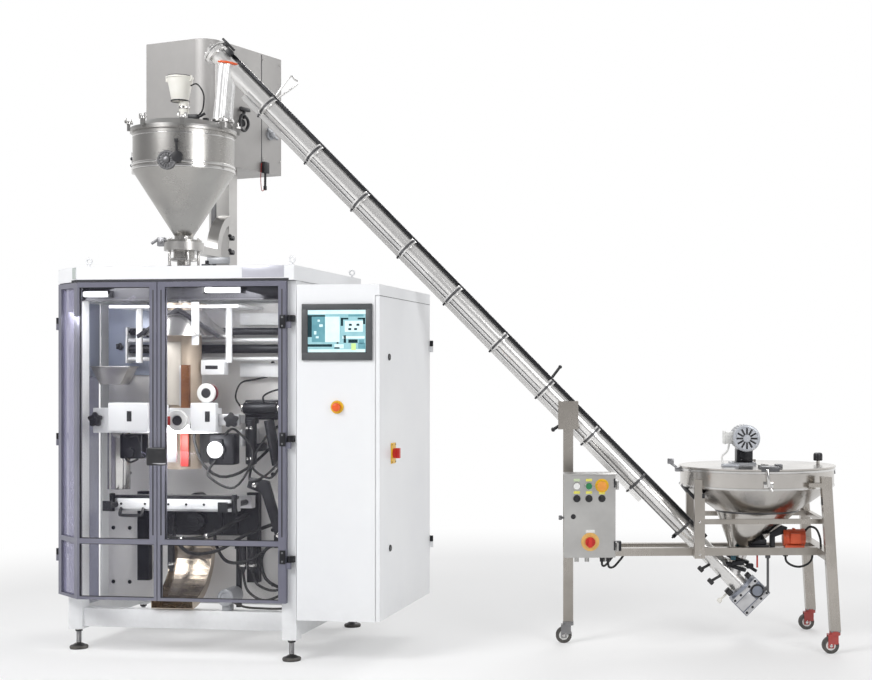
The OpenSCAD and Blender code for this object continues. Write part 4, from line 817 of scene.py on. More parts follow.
@dataclass
class SealerBody:
    """Frame, panels, feet, chamber walls and lamps of the sealer."""

    plate_y: float = 520.0
    feet: tuple = ((-496, 220), (645, 67), (-530, 985), (645, 985))
    bolt_xs: tuple = (-468, -380, 380, 470, 560)
    bolt_zs: tuple = (285, 560, 840, 1120, 1400, 1640)
    bench: Bench = Bench(MACHINE)

    def build(self) -> None:
        """Dress the CAD nodes and add what they leave bare."""
        dress(Shop.WHITE, "main_frame", "body_panels")
        dress(Shop.BLACK_METAL, "levelling_feet", "door_hinges")
        dress(Shop.LINER, "back_plate")
        dress(Shop.GLASS_SIDE, "side_window")
        dress(Shop.FILM, "film_reel")
        dress(Shop.RUBBER, "chamber_hoses")
        self._ceiling()
        self._header()
        self._fasteners()
        self._feet()

    def _ceiling(self) -> None:
        """Dark plate under the roof, painted shade at the top of the chamber, with the two lamps in front of it."""
        b = self.bench
        lip = b.block((-460, 176, 1700), (604, 192, 1708), 1.5)
        # Painted shade: a dark plate where the chamber's top lies in shade.
        b.put([b.block((-460, 192, 1700), (604, 199, 1779), 1.0), lip], "ceiling_painted_shade", Shop.CEILING)
        for name, x0, x1, z in (("left_lamp", -444, -312, 1732), ("right_lamp", 176, 360, 1748)):
            b.put(b.block((x0, 152, z - 14), (x1, 180, z + 14), 9.0, 4), name, Shop.LAMP)
            ends = [b.block((x, 148, z - 17), (x + 9, 192.5, z + 17), 2.0) for x in (x0 - 9, x1)]
            b.put(ends, name + "_ends", Shop.BLACK)

    def _header(self) -> None:
        """Painted shadow strip under the header, the header's painted reflection plate and painted shade plate, and
        the upper part of the side panel.
        """
        b = self.bench
        # Dark strip under the header and along its chamfer: a painted shadow.
        header_shadow_parts = [b.block((-390, -1.2, 1778.8), (655, 1.0, 1791), 0.5),
                b.slab([(-391, -1.2, 1778.8), (-563, 162, 1778.8), (-563, 162, 1791), (-391, -1.2, 1791)],
                       (-1.2, -1.4, 0), 0.2)]
        b.put(header_shadow_parts, "header_painted_shadow", Shop.CEILING)
        # Lavender grey plate on the header's front: a painted reflection.
        b.put(b.block((428, -1.4, 1795), (632, 0.2, 1850), 0.5), "header_painted_reflection", Shop.HEADER_REFLECTION)
        # Grey green plate on the header's chamfer: painted shade.
        corner = b.slab([(-402, 10.2, 1795), (-548, 149.0, 1795), (-548, 149.0, 1849), (-402, 10.2, 1849)],
                        (-1.4, -1.5, 0), 0.3)
        b.put(corner, "header_chamfer_shade", Shop.CHAMFER_SHADE)
        b.put(b.block((-548, 262, 1330), (-540, 518, 1700), 1.5), "side_upper_panel", Shop.PALE_BLUE)

    def _fasteners(self) -> None:
        """Screws of the chamber plate and of the rear skins."""
        b = self.bench
        spots = [spot(x, self.plate_y, z, FRONT, 11 * (x + z)) for x in self.bolt_xs for z in self.bolt_zs]
        b.put(b.repeat(hex_bolt(b, 7.5, 9.0), spots), "chamber_plate_bolts", Shop.BLACK_METAL)
        back = [spot(x, 1020, z, (0, 1, 0)) for x in (-540, -180, 180, 540) for z in (240, 760, 1280, 1740)]
        b.put(b.repeat(cap_screw(b, 6.0, 3.0), back), "rear_skin_screws", Shop.STEEL_BRIGHT)

    def _feet(self) -> None:
        """Threads, lock nuts and pad rims of the screw feet."""
        b = self.bench
        thread = [(11.0, 30.0)]
        for i in range(9):
            thread += [(12.6, 33.0 + 6 * i), (11.2, 36.0 + 6 * i)]
        thread += [(11.0, 92.0), (10.0, 92.0), (10.0, 30.0), (11.0, 30.0)]
        sleeve = b.turned(thread, (0, 0, 0), steps=18)
        b.put(b.repeat(sleeve, [spot(x, y, 0) for x, y in self.feet]), "feet_threads", Shop.FORK)
        nut = b.weld([b.drum((0, 0, 94), (0, 0, 110), 21, 1.2, 6), b.drum((0, 0, 110), (0, 0, 112), 26, 0.4, 24)])
        b.put(b.repeat(nut, [spot(x, y, 0) for x, y in self.feet]), "feet_nuts", Shop.STEEL_BRIGHT)
        pad = b.turned(ring(20, 43.5, 1.0, 16.0, 4.0), (0, 0, 0), steps=28)
        b.put(b.repeat(pad, [spot(x, y, 0) for x, y in self.feet]), "feet_pads", Shop.RUBBER)


@dataclass
class GuardDoors:
    """Two glazed guard doors with gaskets, hinge leaves and the latch."""

    right_low: tuple = (26, 604, 290, 541)
    right_high: tuple = (48, 604, 565, 1754)
    left_low: tuple = (-378, -6, 290, 541)
    left_high: tuple = (-378, -28, 565, 1754)
    hinge_zs: tuple = (492, 1040, 1588)
    bench: Bench = Bench(MACHINE)

    def build(self) -> None:
        """Dress the doors and add their fittings."""
        dress(Shop.PROFILE, "right_door_frame", "left_door_frame")
        dress(Shop.GLASS_FRONT, "right_door_panes")
        dress(Shop.GLASS_LEFT, "left_door_panes")
        for body, windows in (("right_door", (self.right_low, self.right_high)),
                              ("left_door", (self.left_low, self.left_high))):
            loops = [self._gasket(*w) for w in windows]
            self.bench.put(loops, body + "_gaskets", Shop.RUBBER, body)
        self._groove_shade()
        self._hinge_leaves()
        self._latch()

    def _gasket(self, x0: float, x1: float, z0: float, z1: float) -> bpy.types.Object:
        """Rubber lip round one window, against the outer face of its pane.

        Args:
            x0: Left side of the window.
            x1: Right side.
            z0: Bottom.
            z1: Top.

        Returns:
            The lip.
        """
        b, w, y = self.bench, 3.2, 10.8
        bars = [b.block((x0, y - 4, z0), (x0 + w, y, z1), 0.8), b.block((x1 - w, y - 4, z0), (x1, y, z1), 0.8),
                b.block((x0, y - 4, z0), (x1, y, z0 + w), 0.8), b.block((x0, y - 4, z1 - w), (x1, y, z1), 0.8)]
        return b.weld(bars)

    def _groove_shade(self) -> None:
        """Dark strip along the middle of each upright profile: the slot is real, as such profiles have, and its
        darkness is painted shade.
        """
        b = self.bench
        for body, xs in (("right_door", (30, 622)), ("left_door", (-10,))):
            slots = [b.block((x - 3.5, -0.35, 585), (x + 3.5, 0.4, 1740), 0.1) for x in xs]
            b.put(slots, body + "_slots", Shop.CEILING, body)

    def _hinge_leaves(self) -> None:
        """Black leaves with two screws each on the right door's outer stile."""
        b = self.bench
        leaves = [b.block((611, -5, z - 32), (640, -0.1, z + 32), 2.0) for z in self.hinge_zs]
        b.put(leaves, "right_door_hinge_leaves", Shop.BLACK_METAL, "right_door")
        spots = [spot(625, -5, z + s, FRONT) for z in self.hinge_zs for s in (-20, 20)]
        b.put(b.repeat(cap_screw(b, 4.5, 2.5), spots), "right_door_hinge_screws", Shop.FORK, "right_door")

    def _latch(self) -> None:
        """Rounded turning handle with its rose and lock."""
        b = self.bench
        parts = [b.block((-24, -43.8, 916), (74, -28, 1000), 7.0, 4),
                 b.drum((-10, -30, 956), (-10, -0.3, 956), 18, 2.0),
                 b.drum((-10, -1, 956), (-10, 13.5, 956), 6, 0.5, 18),
                 b.block((14, -43.95, 934), (66, -40, 982), 3.0, 3)]
        latch = b.put(parts, "latch_handle", Shop.BLACK, "door_latch", "black_plastic")
        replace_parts(latch, "door_latch")
        lock = b.turned([(0, 0.5), (2.5, 0.5), (3.0, 1.4), (8.5, 1.4), (9.5, 0.4), (9.5, -2), (0, -2)],
                        (-10, -42.3, 956), FRONT, 20)
        b.put(lock, "latch_lock", Shop.STEEL_BRIGHT, "door_latch")


@dataclass
class Cabinet:
    """Electrical cabinet with touch panel, emergency stop, locks and main switch."""

    panel: tuple = (721.0, 1057.0, 1407.5, 1668.5)
    screen: tuple = (750.0, 1028.0, 1444.5, 1640.5)
    stop_at: tuple = (889.0, 1191.0)
    locks: tuple = ((154, 1424), (170, 522))
    bench: Bench = Bench(MACHINE)

    def build(self) -> None:
        """Dress the cabinet and add its fittings."""
        dress(Shop.WHITE, "cabinet_shell", "cabinet_door")
        dress(Shop.RED, "main_switch")
        dress(Shop.YELLOW, "estop_collar")
        self._bezel()
        self._screen()
        self._stop()
        self._side()

    def _bezel(self) -> None:
        """Moulded bezel whose front is inset down to the screen."""
        b = self.bench
        x0, x1, z0, z1 = self.panel
        u0, u1, w0, w1 = self.screen
        bars = [b.block((x0, -12, w1), (x1, -0.2, z1), 2.5, 3), b.block((x0, -12, z0), (x1, -0.2, w0), 2.5, 3),
                b.block((x0, -11.95, w0 - 4), (u0, -0.2, w1 + 4), 0.3),
                b.block((u1, -11.95, w0 - 4), (x1, -0.2, w1 + 4), 0.3),
                b.block((x0 + 6, -8.9, z0 + 6), (x1 - 6, -0.2, z1 - 6), 0.5)]
        bezel = b.put(bars, "touch_bezel", Shop.BEZEL, "root", "black_plastic")
        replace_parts(bezel, "touch_panel")
        lip = [b.block((u0 - 7, -12.0, w1), (u1 + 7, -11.7, w1 + 3), 0.1),
               b.block((u0 - 7, -12.0, w0 - 3), (u1 + 7, -11.7, w0), 0.1)]
        b.put(lip, "bezel_line", Shop.BLACK)

    def _field(self, name: str, finish, *spans: tuple) -> None:
        """Lay lit fields on the screen.

        Args:
            name: Name of the piece.
            finish: Lit finish of the fields.
            spans: Left, right, bottom and top of each, as shares of the screen, and its height in tenths.
        """
        u0, u1, w0, w1 = self.screen
        wide, tall = u1 - u0, w1 - w0
        fields = [self.bench.block((u0 + wide * a, -9.0 - 0.12 * lift, w0 + tall * c),
                                   (u0 + wide * d, -8.8, w0 + tall * e), 0.05, 1) for a, d, c, e, lift in spans]
        self.bench.put(fields, name, finish)

    def _screen(self) -> None:
        """Lit screen with plain fields, keys and a gauge, and nothing written on it."""
        self._field("screen_ground", Shop.SCREEN, (0, 1, 0, 1, 1))
        self._field("screen_pale", Shop.SCREEN_PALE, (0, 1, 0.90, 1, 2), (0.01, 0.99, 0.0, 0.07, 2),
                    (0.30, 0.55, 0.24, 0.84, 2),
                    (0.60, 0.98, 0.32, 0.38, 3), (0.46, 0.62, 0.09, 0.19, 3), (0.64, 0.95, 0.48, 0.74, 3))
        self._field("screen_deep", Shop.SCREEN_DEEP, (0.0, 0.30, 0.84, 0.88, 3), (0.0, 0.42, 0.13, 0.19, 3),
                    (0.0, 0.07, 0.36, 0.84, 3),
                    (0.57, 0.70, 0.77, 0.81, 3), (0.86, 0.99, 0.77, 0.81, 3), (0.57, 0.61, 0.62, 0.80, 3),
                    (0.95, 0.99, 0.66, 0.80, 3),
                    (0.71, 0.76, 0.62, 0.67, 5), (0.84, 0.89, 0.62, 0.67, 5), (0.70, 0.75, 0.52, 0.57, 5),
                    (0.80, 0.85, 0.52, 0.57, 5),
                    (0.70, 0.86, 0.22, 0.30, 3), (0.62, 0.66, 0.22, 0.40, 3), (0.46, 0.55, 0.085, 0.12, 5),
                    (0.50, 0.53, 0.20, 0.24, 5))
        self._field("screen_mid", Shop.SCREEN_MID, (0.07, 0.30, 0.24, 0.84, 2), (0.87, 0.99, 0.08, 0.22, 3),
                    (0.70, 0.96, 0.84, 0.89, 3),
                    (0.88, 0.97, 0.20, 0.30, 3))
        self._field("screen_spark", Shop.SCREEN_PALE, (0.11, 0.15, 0.42, 0.50, 4), (0.14, 0.19, 0.33, 0.38, 4),
                    (0.20, 0.26, 0.60, 0.66, 4),
                    (0.17, 0.21, 0.72, 0.77, 4))
        self._field("screen_key", Shop.SCREEN_KEY, (0.75, 0.83, 0.05, 0.21, 4))

    def _stop(self) -> None:
        """Domed mushroom head of the emergency stop."""
        b = self.bench
        x, z = self.stop_at
        head = b.turned([(0, 0.2), (9, 0.2), (9, 11.6), (18.5, 11.6), (20, 13.5), (20, 20), (18.6, 24.5), (14, 28.2),
                         (7, 29.7), (0, 30)],
                        (x, 0, z), FRONT, 36)
        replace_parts(b.put(head, "stop_head", Shop.ORANGE_RED, "estop_button", "red_plastic"), "estop_button")
        lip = b.turned(ring(21.5, 30.6, 1.0, 7.0, 2.0), (x, 0, z), FRONT, 36)
        b.put(lip, "stop_collar_lip", Shop.YELLOW)

    def _side(self) -> None:
        """Locks, switch plate and the shadow line of the side door."""
        b = self.bench
        for i, (y, z) in enumerate(self.locks):
            rose = b.turned([(0, 4.5), (6, 4.5), (6, 6), (13, 6), (16, 3.5), (16, 0), (0, 0)], (1090, y, z),
                            (1, 0, 0), 28)
            b.put(rose, f"cabinet_lock_{i}", Shop.BLACK, "cabinet_door")
            slot = b.block((1094.6, y - 2, z - 5), (1095.4, y + 2, z + 5), 0.3)
            b.put(slot, f"cabinet_lock_key_{i}", Shop.STEEL_BRIGHT, "cabinet_door")
        plate = b.block((1090.1, 183, 919), (1094.2, 257, 1017), 1.6, 3)
        b.put(plate, "main_switch_plate", Shop.YELLOW, "cabinet_door")
        corners = [spot(1094.2, 220 + s * 30, 968 + t * 41, (1, 0, 0)) for s in (-1, 1) for t in (-1, 1)]
        b.put(b.repeat(cap_screw(b, 3.5, 1.6), corners), "main_switch_screws", Shop.BLACK_METAL, "cabinet_door")
        b.put(b.block((1088.6, 4, 1704.6), (1090.5, 898, 1707.2), 0.2), "cabinet_door_seam", Shop.CEILING)


@dataclass
class FormingSet:
    """Forming tube, shoulder, film path and pull drive in the chamber."""

    beam_y: float = 150.0
    seal_x: float = 60.0
    bench: Bench = Bench(MACHINE)

    def build(self) -> None:
        """Dress the forming set and add what stands round it."""
        dress(Shop.TAN, "forming_tube")
        dress(Shop.STEEL_BRIGHT, "forming_shoulder")
        dress(Shop.WHITE, "film_frame")
        dress(Shop.BLACK_METAL, "film_roller")
        dress(Shop.COPPER, "vertical_sealer")
        dress(Shop.RUBBER, "left_pull_belt", "right_pull_belt")
        dress(Shop.ALLOY, "left_pulley", "right_pulley")
        self._film_path()
        self._shoulder()
        self._beam()
        self._sealer()
        self._pull_drive()
        self._valves()

    def _film_path(self) -> None:
        """Guide plate, tray, upper roller and the plates beside the rollers."""
        b = self.bench
        b.put(b.block((-488, 506, 1338), (-214, 518, 1698), 2.0), "left_guide_plate", Shop.PALE_BLUE)
        b.put(b.repeat(star_knob(b, 20, 11), [spot(-423, 499, 1484, FRONT)]), "guide_plate_knob", Shop.BLACK)
        tray = b.slab([(-478, 300, 1380), (-276, 300, 1380), (-322, 300, 1292), (-430, 300, 1292)], (0, 100, 0), 4.0)
        rim = b.wire([(-478, 300, 1380), (-276, 300, 1380), (-276, 400, 1380), (-478, 400, 1380)], 4.0, 1, True)
        arm = b.block((-388, 398, 1322), (-356, 508, 1346), 3.0)
        b.put([tray, rim, arm], "film_tray", Shop.STEEL)
        roll = [b.drum((-336, 442, 1557), (456, 442, 1557), 18, 1.5),
                b.drum((-350, 442, 1557), (470, 442, 1557), 6, 0.5, 16)]
        b.put(roll, "upper_film_roller", Shop.BLACK_METAL)
        ends = [b.block((x, 424, 1518), (x + 10, 520.5, 1580), 2.5) for x in (-356, 464)]
        b.put(ends, "upper_roller_ends", Shop.WHITE)
        plates = [b.block((224, 478, 1588), (500, 488, 1650), 2.0), b.block((224, 478, 1330), (470, 488, 1398), 2.0)]
        plates += [b.block((x, 486, z), (x + 24, 520.5, z + 20), 1.5) for x in (260, 420) for z in (1350, 1610)]
        b.put(plates, "roller_side_plates", Shop.WHITE)
        b.put(b.block((478, 396, 1404), (492, 520.5, 1604), 2.0), "roller_bracket", Shop.ALLOY)

    def _shoulder(self) -> None:
        """Folded hood over the collar with dark edges, edge guide and the box beside the tube."""
        b = self.bench
        fold = [(18, 1664), (224, 1532), (224, 1524), (18, 1655), (-188, 1524), (-188, 1532)]
        b.put(b.slab([(x, 216, z) for x, z in fold], (0, 196, 0), 0.8), "shoulder_hood", Shop.STEEL_BRIGHT)
        edge = [(18, 1672), (230, 1535), (224, 1516), (18, 1648), (-188, 1516), (-194, 1535)]
        b.put(b.slab([(x, 208, z) for x, z in edge], (0, 9, 0), 1.2), "shoulder_edge", Shop.BLACK_METAL)
        b.put(b.block((98, 186, 1484), (132, 200.3, 1692), 2.0), "film_edge_guide", Shop.WHITE)
        b.put(b.block((-62, 226, 1192), (26, 236, 1502), 4.0), "tube_front_panel", Shop.PANEL_BEIGE)
        b.put(b.block((100, 288, 1340), (220, 345, 1414), 4.0), "guide_box", Shop.WHITE)
        b.put(b.block((124, 286.4, 1368), (188, 289, 1386), 1.0), "guide_box_slot", Shop.BLACK)

    def _beam(self) -> None:
        """Blocks, slots, clamping knobs and the measuring wheel on the front beam."""
        b = self.bench
        y = self.beam_y
        blocks = [b.block((-295, y - 32, 1068), (-91, y + 0.5, 1206), 5.0, 3),
                  b.block((122, y - 32, 1068), (250, y + 0.5, 1206), 5.0, 3),
                  b.block((-88, y - 10, 1074), (0, y + 0.5, 1196), 3.0)]
        b.put(blocks, "beam_blocks", Shop.WHITE)
        slots = [b.block((x, y - 33.4, 1116), (x + 24, y - 31.6, 1166), 0.6) for x in (-198, 196)]
        b.put(slots, "beam_slots", Shop.BLACK)
        b.put(b.block((246, y, 1098), (352, y + 24, 1152), 3.0), "beam_end_bracket", Shop.ALLOY)
        knobs = [spot(x, y - 10, 1124, FRONT, 20) for x in (-366, 321)]
        b.put(b.repeat(star_knob(b, 38, 16), knobs), "beam_knobs", Shop.BLACK)
        b.put(b.block((172, y + 8, 1178), (208, y + 34, 1262), 3.0), "wheel_bracket", Shop.ALLOY)
        wheel = b.turned(ring(24, 46, 0, 16, 3.5), (190, y + 8, 1253), FRONT)
        b.put(wheel, "measuring_wheel", Shop.WHITE_PLASTIC)
        hub = b.turned([(0, -2), (25, -2), (25, 14), (20, 18), (8, 19), (0, 16)], (190, y + 8, 1253), FRONT)
        b.put(hub, "measuring_wheel_hub", Shop.BLACK)
        side = b.turned(ring(10, 43, -16, -4, 3.0), (198, y + 10, 1253), FRONT)
        b.put(side, "measuring_wheel_side", Shop.MAROON)
        sheets = b.slab([(112, y - 26, 1082), (120, y - 26, 1082), (148, y - 26, 1204), (140, y - 26, 1204)],
                        (0, 20, 0), 0.6)
        b.put(sheets, "beam_sheet", Shop.BLACK_METAL)

    def _sealer(self) -> None:
        """Pressing head and red band that move with the vertical sealer."""
        b = self.bench
        x = self.seal_x
        head = b.turned([(0, 0), (46, 0), (50, 3), (50, 13), (46, 17), (28, 18), (26, 14), (0, 14)], (x, 124, 1122),
                        FRONT)
        b.put(head, "seal_press_head", Shop.WHITE_PLASTIC, "vertical_sealer")
        eye = b.turned([(0, 13), (24, 13), (22, 20), (10, 22), (0, 22)], (x, 124, 1122), FRONT, 28)
        b.put(eye, "seal_press_eye", Shop.BLACK, "vertical_sealer")
        b.put(b.block((x - 46, 102, 1100), (x - 33, 109, 1142), 2.0), "seal_press_tab", Shop.SEAL_RED,
              "vertical_sealer")
        b.put(b.block((x - 19, 190, 898), (x + 19, 197.3, 1056), 1.5), "seal_band", Shop.SEAL_RED, "vertical_sealer")
        b.put(b.block((x - 30, 200, 1190), (x - 20.5, 212, 1386), 1.0), "seal_side_strip", Shop.ALLOY,
              "vertical_sealer")
        b.put(b.block((-44, 168, 918), (30, 180, 1066), 2.0), "tube_shield", Shop.ALLOY)

    def _pull_drive(self) -> None:
        """Housings of the belt drives, the round guard at the left and small fittings."""
        b = self.bench
        box = [b.block((168, 224, 904), (296, 303, 1056), 9.0, 3), b.block((180, 216, 930), (244, 226, 1030), 4.0)]
        b.put(box, "pull_drive_housing", Shop.BLACK_METAL)
        disc = b.turned([(0, 14), (9, 14), (9, 10), (30, 10), (33, 16), (40, 16), (42, 12), (42, 0), (0, 0)],
                        (211, 217, 978), FRONT)
        b.put(disc, "pull_drive_pulley", Shop.ALLOY)
        arc = [(-318 + 62 * math.cos(math.radians(a)), 296 + 62 * math.sin(math.radians(a)))
               for a in range(165, 346, 10)]
        arc += [(-318 + 57 * math.cos(math.radians(a)), 296 + 57 * math.sin(math.radians(a)))
                for a in range(345, 164, -10)]
        guard = b.slab([(x, y, 778) for x, y in arc], (0, 0, 292), 0.6)
        b.put([guard, b.block((-312, 290, 1000), (-294, 306, 1060), 2.0)], "left_round_guard", Shop.STEEL_BRIGHT)
        left = [b.block((-292, 232, 930), (-176, 303, 1050), 8.0, 3),
                b.drum((-236, 234, 960), (-236, 216, 960), 24, 2.0)]
        b.put(left, "left_drive_housing", Shop.BLACK_METAL)
        clips = [b.wire([(-270, 222, 1052), (-240, 205, 1030), (-200, 212, 1044), (-185, 228, 1010)], 5.0),
                 b.wire([(-262, 226, 938), (-225, 205, 915), (-190, 222, 930)], 5.0)]
        b.put(clips, "left_drive_leads", Shop.RUBBER)

    def _valves(self) -> None:
        """Valve block, cylinders and leads at the right of the tube."""
        b = self.bench
        body = [b.block((292, 372, 1120), (474, 470, 1216), 6.0, 3),
                b.block((330, 468, 1140), (430, 520.5, 1190), 2.0),
                b.drum((298, 352, 1176), (470, 352, 1176), 29, 3.0),
                b.drum((338, 340, 1118), (338, 340, 902), 27, 3.0),
                b.drum((424, 352, 1118), (466, 352, 896), 25, 3.0), b.block((312, 322, 1100), (366, 372, 1130), 4.0),
                b.block((330, 366, 960), (350, 520.5, 1000), 2.0), b.block((440, 376, 960), (460, 520.5, 1000), 2.0)]
        b.put(body, "valve_block", Shop.BLACK_METAL)
        caps = [b.drum((296, 352, 1176), (286, 352, 1176), 22, 2.0),
                b.drum((471, 352, 1176), (482, 352, 1176), 22, 2.0),
                b.drum((338, 340, 901), (338, 340, 884), 19, 2.0), b.drum((466, 352, 895), (469, 352, 878), 18, 2.0)]
        caps += [b.drum((x, 372, 1198), (x, 358, 1198), 8, 1.0, 6) for x in (306, 400, 430, 460)]
        caps += [b.drum((338 + s, 316, z), (338 + s, 306, z), 7, 1.0, 16) for s in (-8, 12) for z in (930, 1080)]
        b.put(caps, "valve_fittings", Shop.STEEL_BRIGHT)
        leads = [b.wire([(250, 224, 1050), (330, 158, 1078), (424, 150, 960), (332, 146, 802), (196, 156, 858),
                         (206, 218, 925)], 6.0),
                 b.wire([(468, 352, 884), (505, 300, 905), (452, 286, 838), (356, 296, 900), (400, 330, 1010),
                         (434, 345, 1060)], 6.0),
                 b.wire([(338, 340, 884), (352, 300, 820), (450, 300, 868), (540, 340, 1010), (560, 430, 1180),
                         (520, 500, 1300), (500, 521, 1320)], 6.0),
                 b.wire([(400, 358, 1198), (420, 300, 1240), (500, 330, 1270), (560, 450, 1240), (570, 521, 1180)],
                        4.5),
                 b.wire([(286, 352, 1176), (262, 330, 1230), (286, 340, 1300), (330, 420, 1318), (350, 521, 1330)],
                        4.5)]
        b.put(leads, "valve_leads", Shop.RUBBER)


@dataclass
class CrossSealer:
    """Jaws, their guides, the chute and what hangs round them."""

    face_y: float = 200.0
    bench: Bench = Bench(MACHINE)

    def build(self) -> None:
        """Dress the cross sealer and add its fittings."""
        dress(Shop.BLACK_METAL, "jaw_carriage")
        dress(Shop.ALLOY, "front_jaw", "rear_jaw")
        dress(Shop.STEEL_WARM, "discharge_chute")
        self._front_jaw()
        self._drive()
        self._below()

    def _front_jaw(self) -> None:
        """Insulating bar, faces, bolts and the grip, all moving with the front jaw."""
        b = self.bench
        y = self.face_y
        dark = [b.block((-318, y - 4, 740), (318, y + 38, 754), 2.0),
                b.block((300, y - 14, 676), (322, y + 6, 764), 3.0),
                b.block((-322, y - 14, 676), (-300, y + 6, 764), 3.0),
                b.block((-108, y - 8, 682), (-50, y + 0.5, 738), 2.0)]
        b.put(dark, "front_jaw_bar", Shop.BLACK_METAL, "front_jaw")
        pale = [b.block((-282, y - 11, 690), (-117, y + 0.2, 740), 3.0),
                b.block((-41, y - 11, 690), (296, y + 0.2, 738), 3.0)]
        b.put(pale, "front_jaw_faces", Shop.WHITE, "front_jaw")
        spots = [spot(x, y - 11, 714, FRONT, x) for x in (-262, -140, -20, 70, 160, 268)]
        b.put(b.repeat(hex_bolt(b, 4.5, 5.0), spots), "front_jaw_bolts", Shop.BLACK_METAL, "front_jaw")
        grip = b.wire([(-262, y - 6, 694), (-262, y - 24, 668), (-248, y - 28, 660), (-164, y - 28, 660),
                       (-150, y - 24, 668), (-150, y - 6, 694)], 8.0, 4)
        b.put(grip, "front_jaw_grip", Shop.BLACK, "front_jaw")
        leads = b.wire([(296, y - 8, 752), (322, y - 40, 736), (332, y - 30, 690), (316, y + 10, 664)], 5.0)
        b.put(leads, "front_jaw_lead", Shop.RUBBER, "front_jaw")

    def _drive(self) -> None:
        """Dark casting behind the jaws with its ribs, the bent arm and the leg at the right."""
        b = self.bench
        parts = [b.block((-262, 486, 532), (262, 520.5, 672), 6.0, 3)]
        parts += [b.block((x - 7, 468, 540), (x + 7, 488, 664), 3.0) for x in (-210, -126, 126, 210)]
        parts += [b.drum((0, 488, 604), (0, 452, 604), 46, 4.0), b.drum((0, 454, 604), (0, 446, 604), 22, 2.0)]
        b.put(parts, "jaw_drive_casting", Shop.BLACK_METAL)
        bend = [(330, 790), (344, 838), (440, 822), (516, 566), (476, 548), (404, 762)]
        arm = b.slab([(x, 300, z) for x, z in bend], (0, 28, 0), 4.0)
        foot = [b.block((470, 294, 498), (600, 334, 562), 4.0), b.block((-84, 300, 502), (476, 322, 520), 3.0),
                b.block((262, 334, 198), (286, 356, 505), 3.0), b.block((262, 318, 486), (286, 356, 506), 2.0)]
        b.put([arm] + foot, "jaw_drive_arm", Shop.BLACK_METAL)
        pins = [b.drum((x, 300, z), (x, 290, z), 13, 1.5, 6) for x, z in ((372, 800), (494, 560), (540, 530))]
        b.put(pins, "jaw_arm_bolts", Shop.STEEL_BRIGHT)
        hoses = [b.wire([(-200, 488, 604), (-128, 340, 566), (16, 238, 540), (170, 226, 560), (252, 300, 612),
                         (262, 488, 640)], 11.0),
                 b.wire([(-120, 488, 570), (-60, 350, 528), (60, 262, 470), (200, 250, 486), (330, 300, 560),
                         (420, 420, 600), (440, 521, 606)], 9.0),
                 b.wire([(90, 488, 560), (140, 380, 500), (240, 280, 430), (360, 270, 440), (470, 300, 520)], 8.0)]
        b.put(hoses, "jaw_hoses", Shop.RUBBER)
        clips = [b.drum((16, 238, 540), (34, 236, 541), 13.5, 1.0, 20),
                 b.drum((150, 226, 557), (166, 226, 559), 13.5, 1.0, 20)]
        b.put(clips, "jaw_hose_clips", Shop.STEEL_BRIGHT)

    def _below(self) -> None:
        """Dampers with their rings, round duct and the leads at the bottom."""
        b = self.bench
        dampers = [b.drum((x, 311, 388), (x, 311, 504), 17, 2.0) for x in (-62, 308, 356)]
        dampers += [b.drum((x, 311, 374), (x, 311, 389), 10, 1.0, 20) for x in (-62, 308, 356)]
        b.put(dampers, "jaw_dampers", Shop.BLACK)
        nuts = [b.drum((x, 311, 404), (x, 311, 416), 19, 1.0, 24) for x in (-62, 308, 356)]
        b.put(nuts, "damper_rings", Shop.STEEL_BRIGHT)
        duct = b.turned([(0, 4), (22, 4), (25, 8), (36, 8), (41, 3), (41, -120), (0, -120)], (262, 206, 264), FRONT)
        b.put([duct, b.block((240, 214, 198), (284, 256, 228), 3.0)], "round_duct", Shop.CASTING)
        leads = [b.wire([(308, 311, 376), (352, 262, 292), (452, 232, 252), (560, 262, 300), (601, 340, 360)], 6.5),
                 b.wire([(356, 311, 376), (398, 272, 322), (490, 262, 296), (570, 300, 340), (601, 380, 420)], 6.5),
                 b.wire([(284, 206, 252), (352, 214, 222), (440, 226, 214), (540, 240, 214), (601, 300, 230)], 5.5)]
        b.put(leads, "low_leads", Shop.RUBBER)


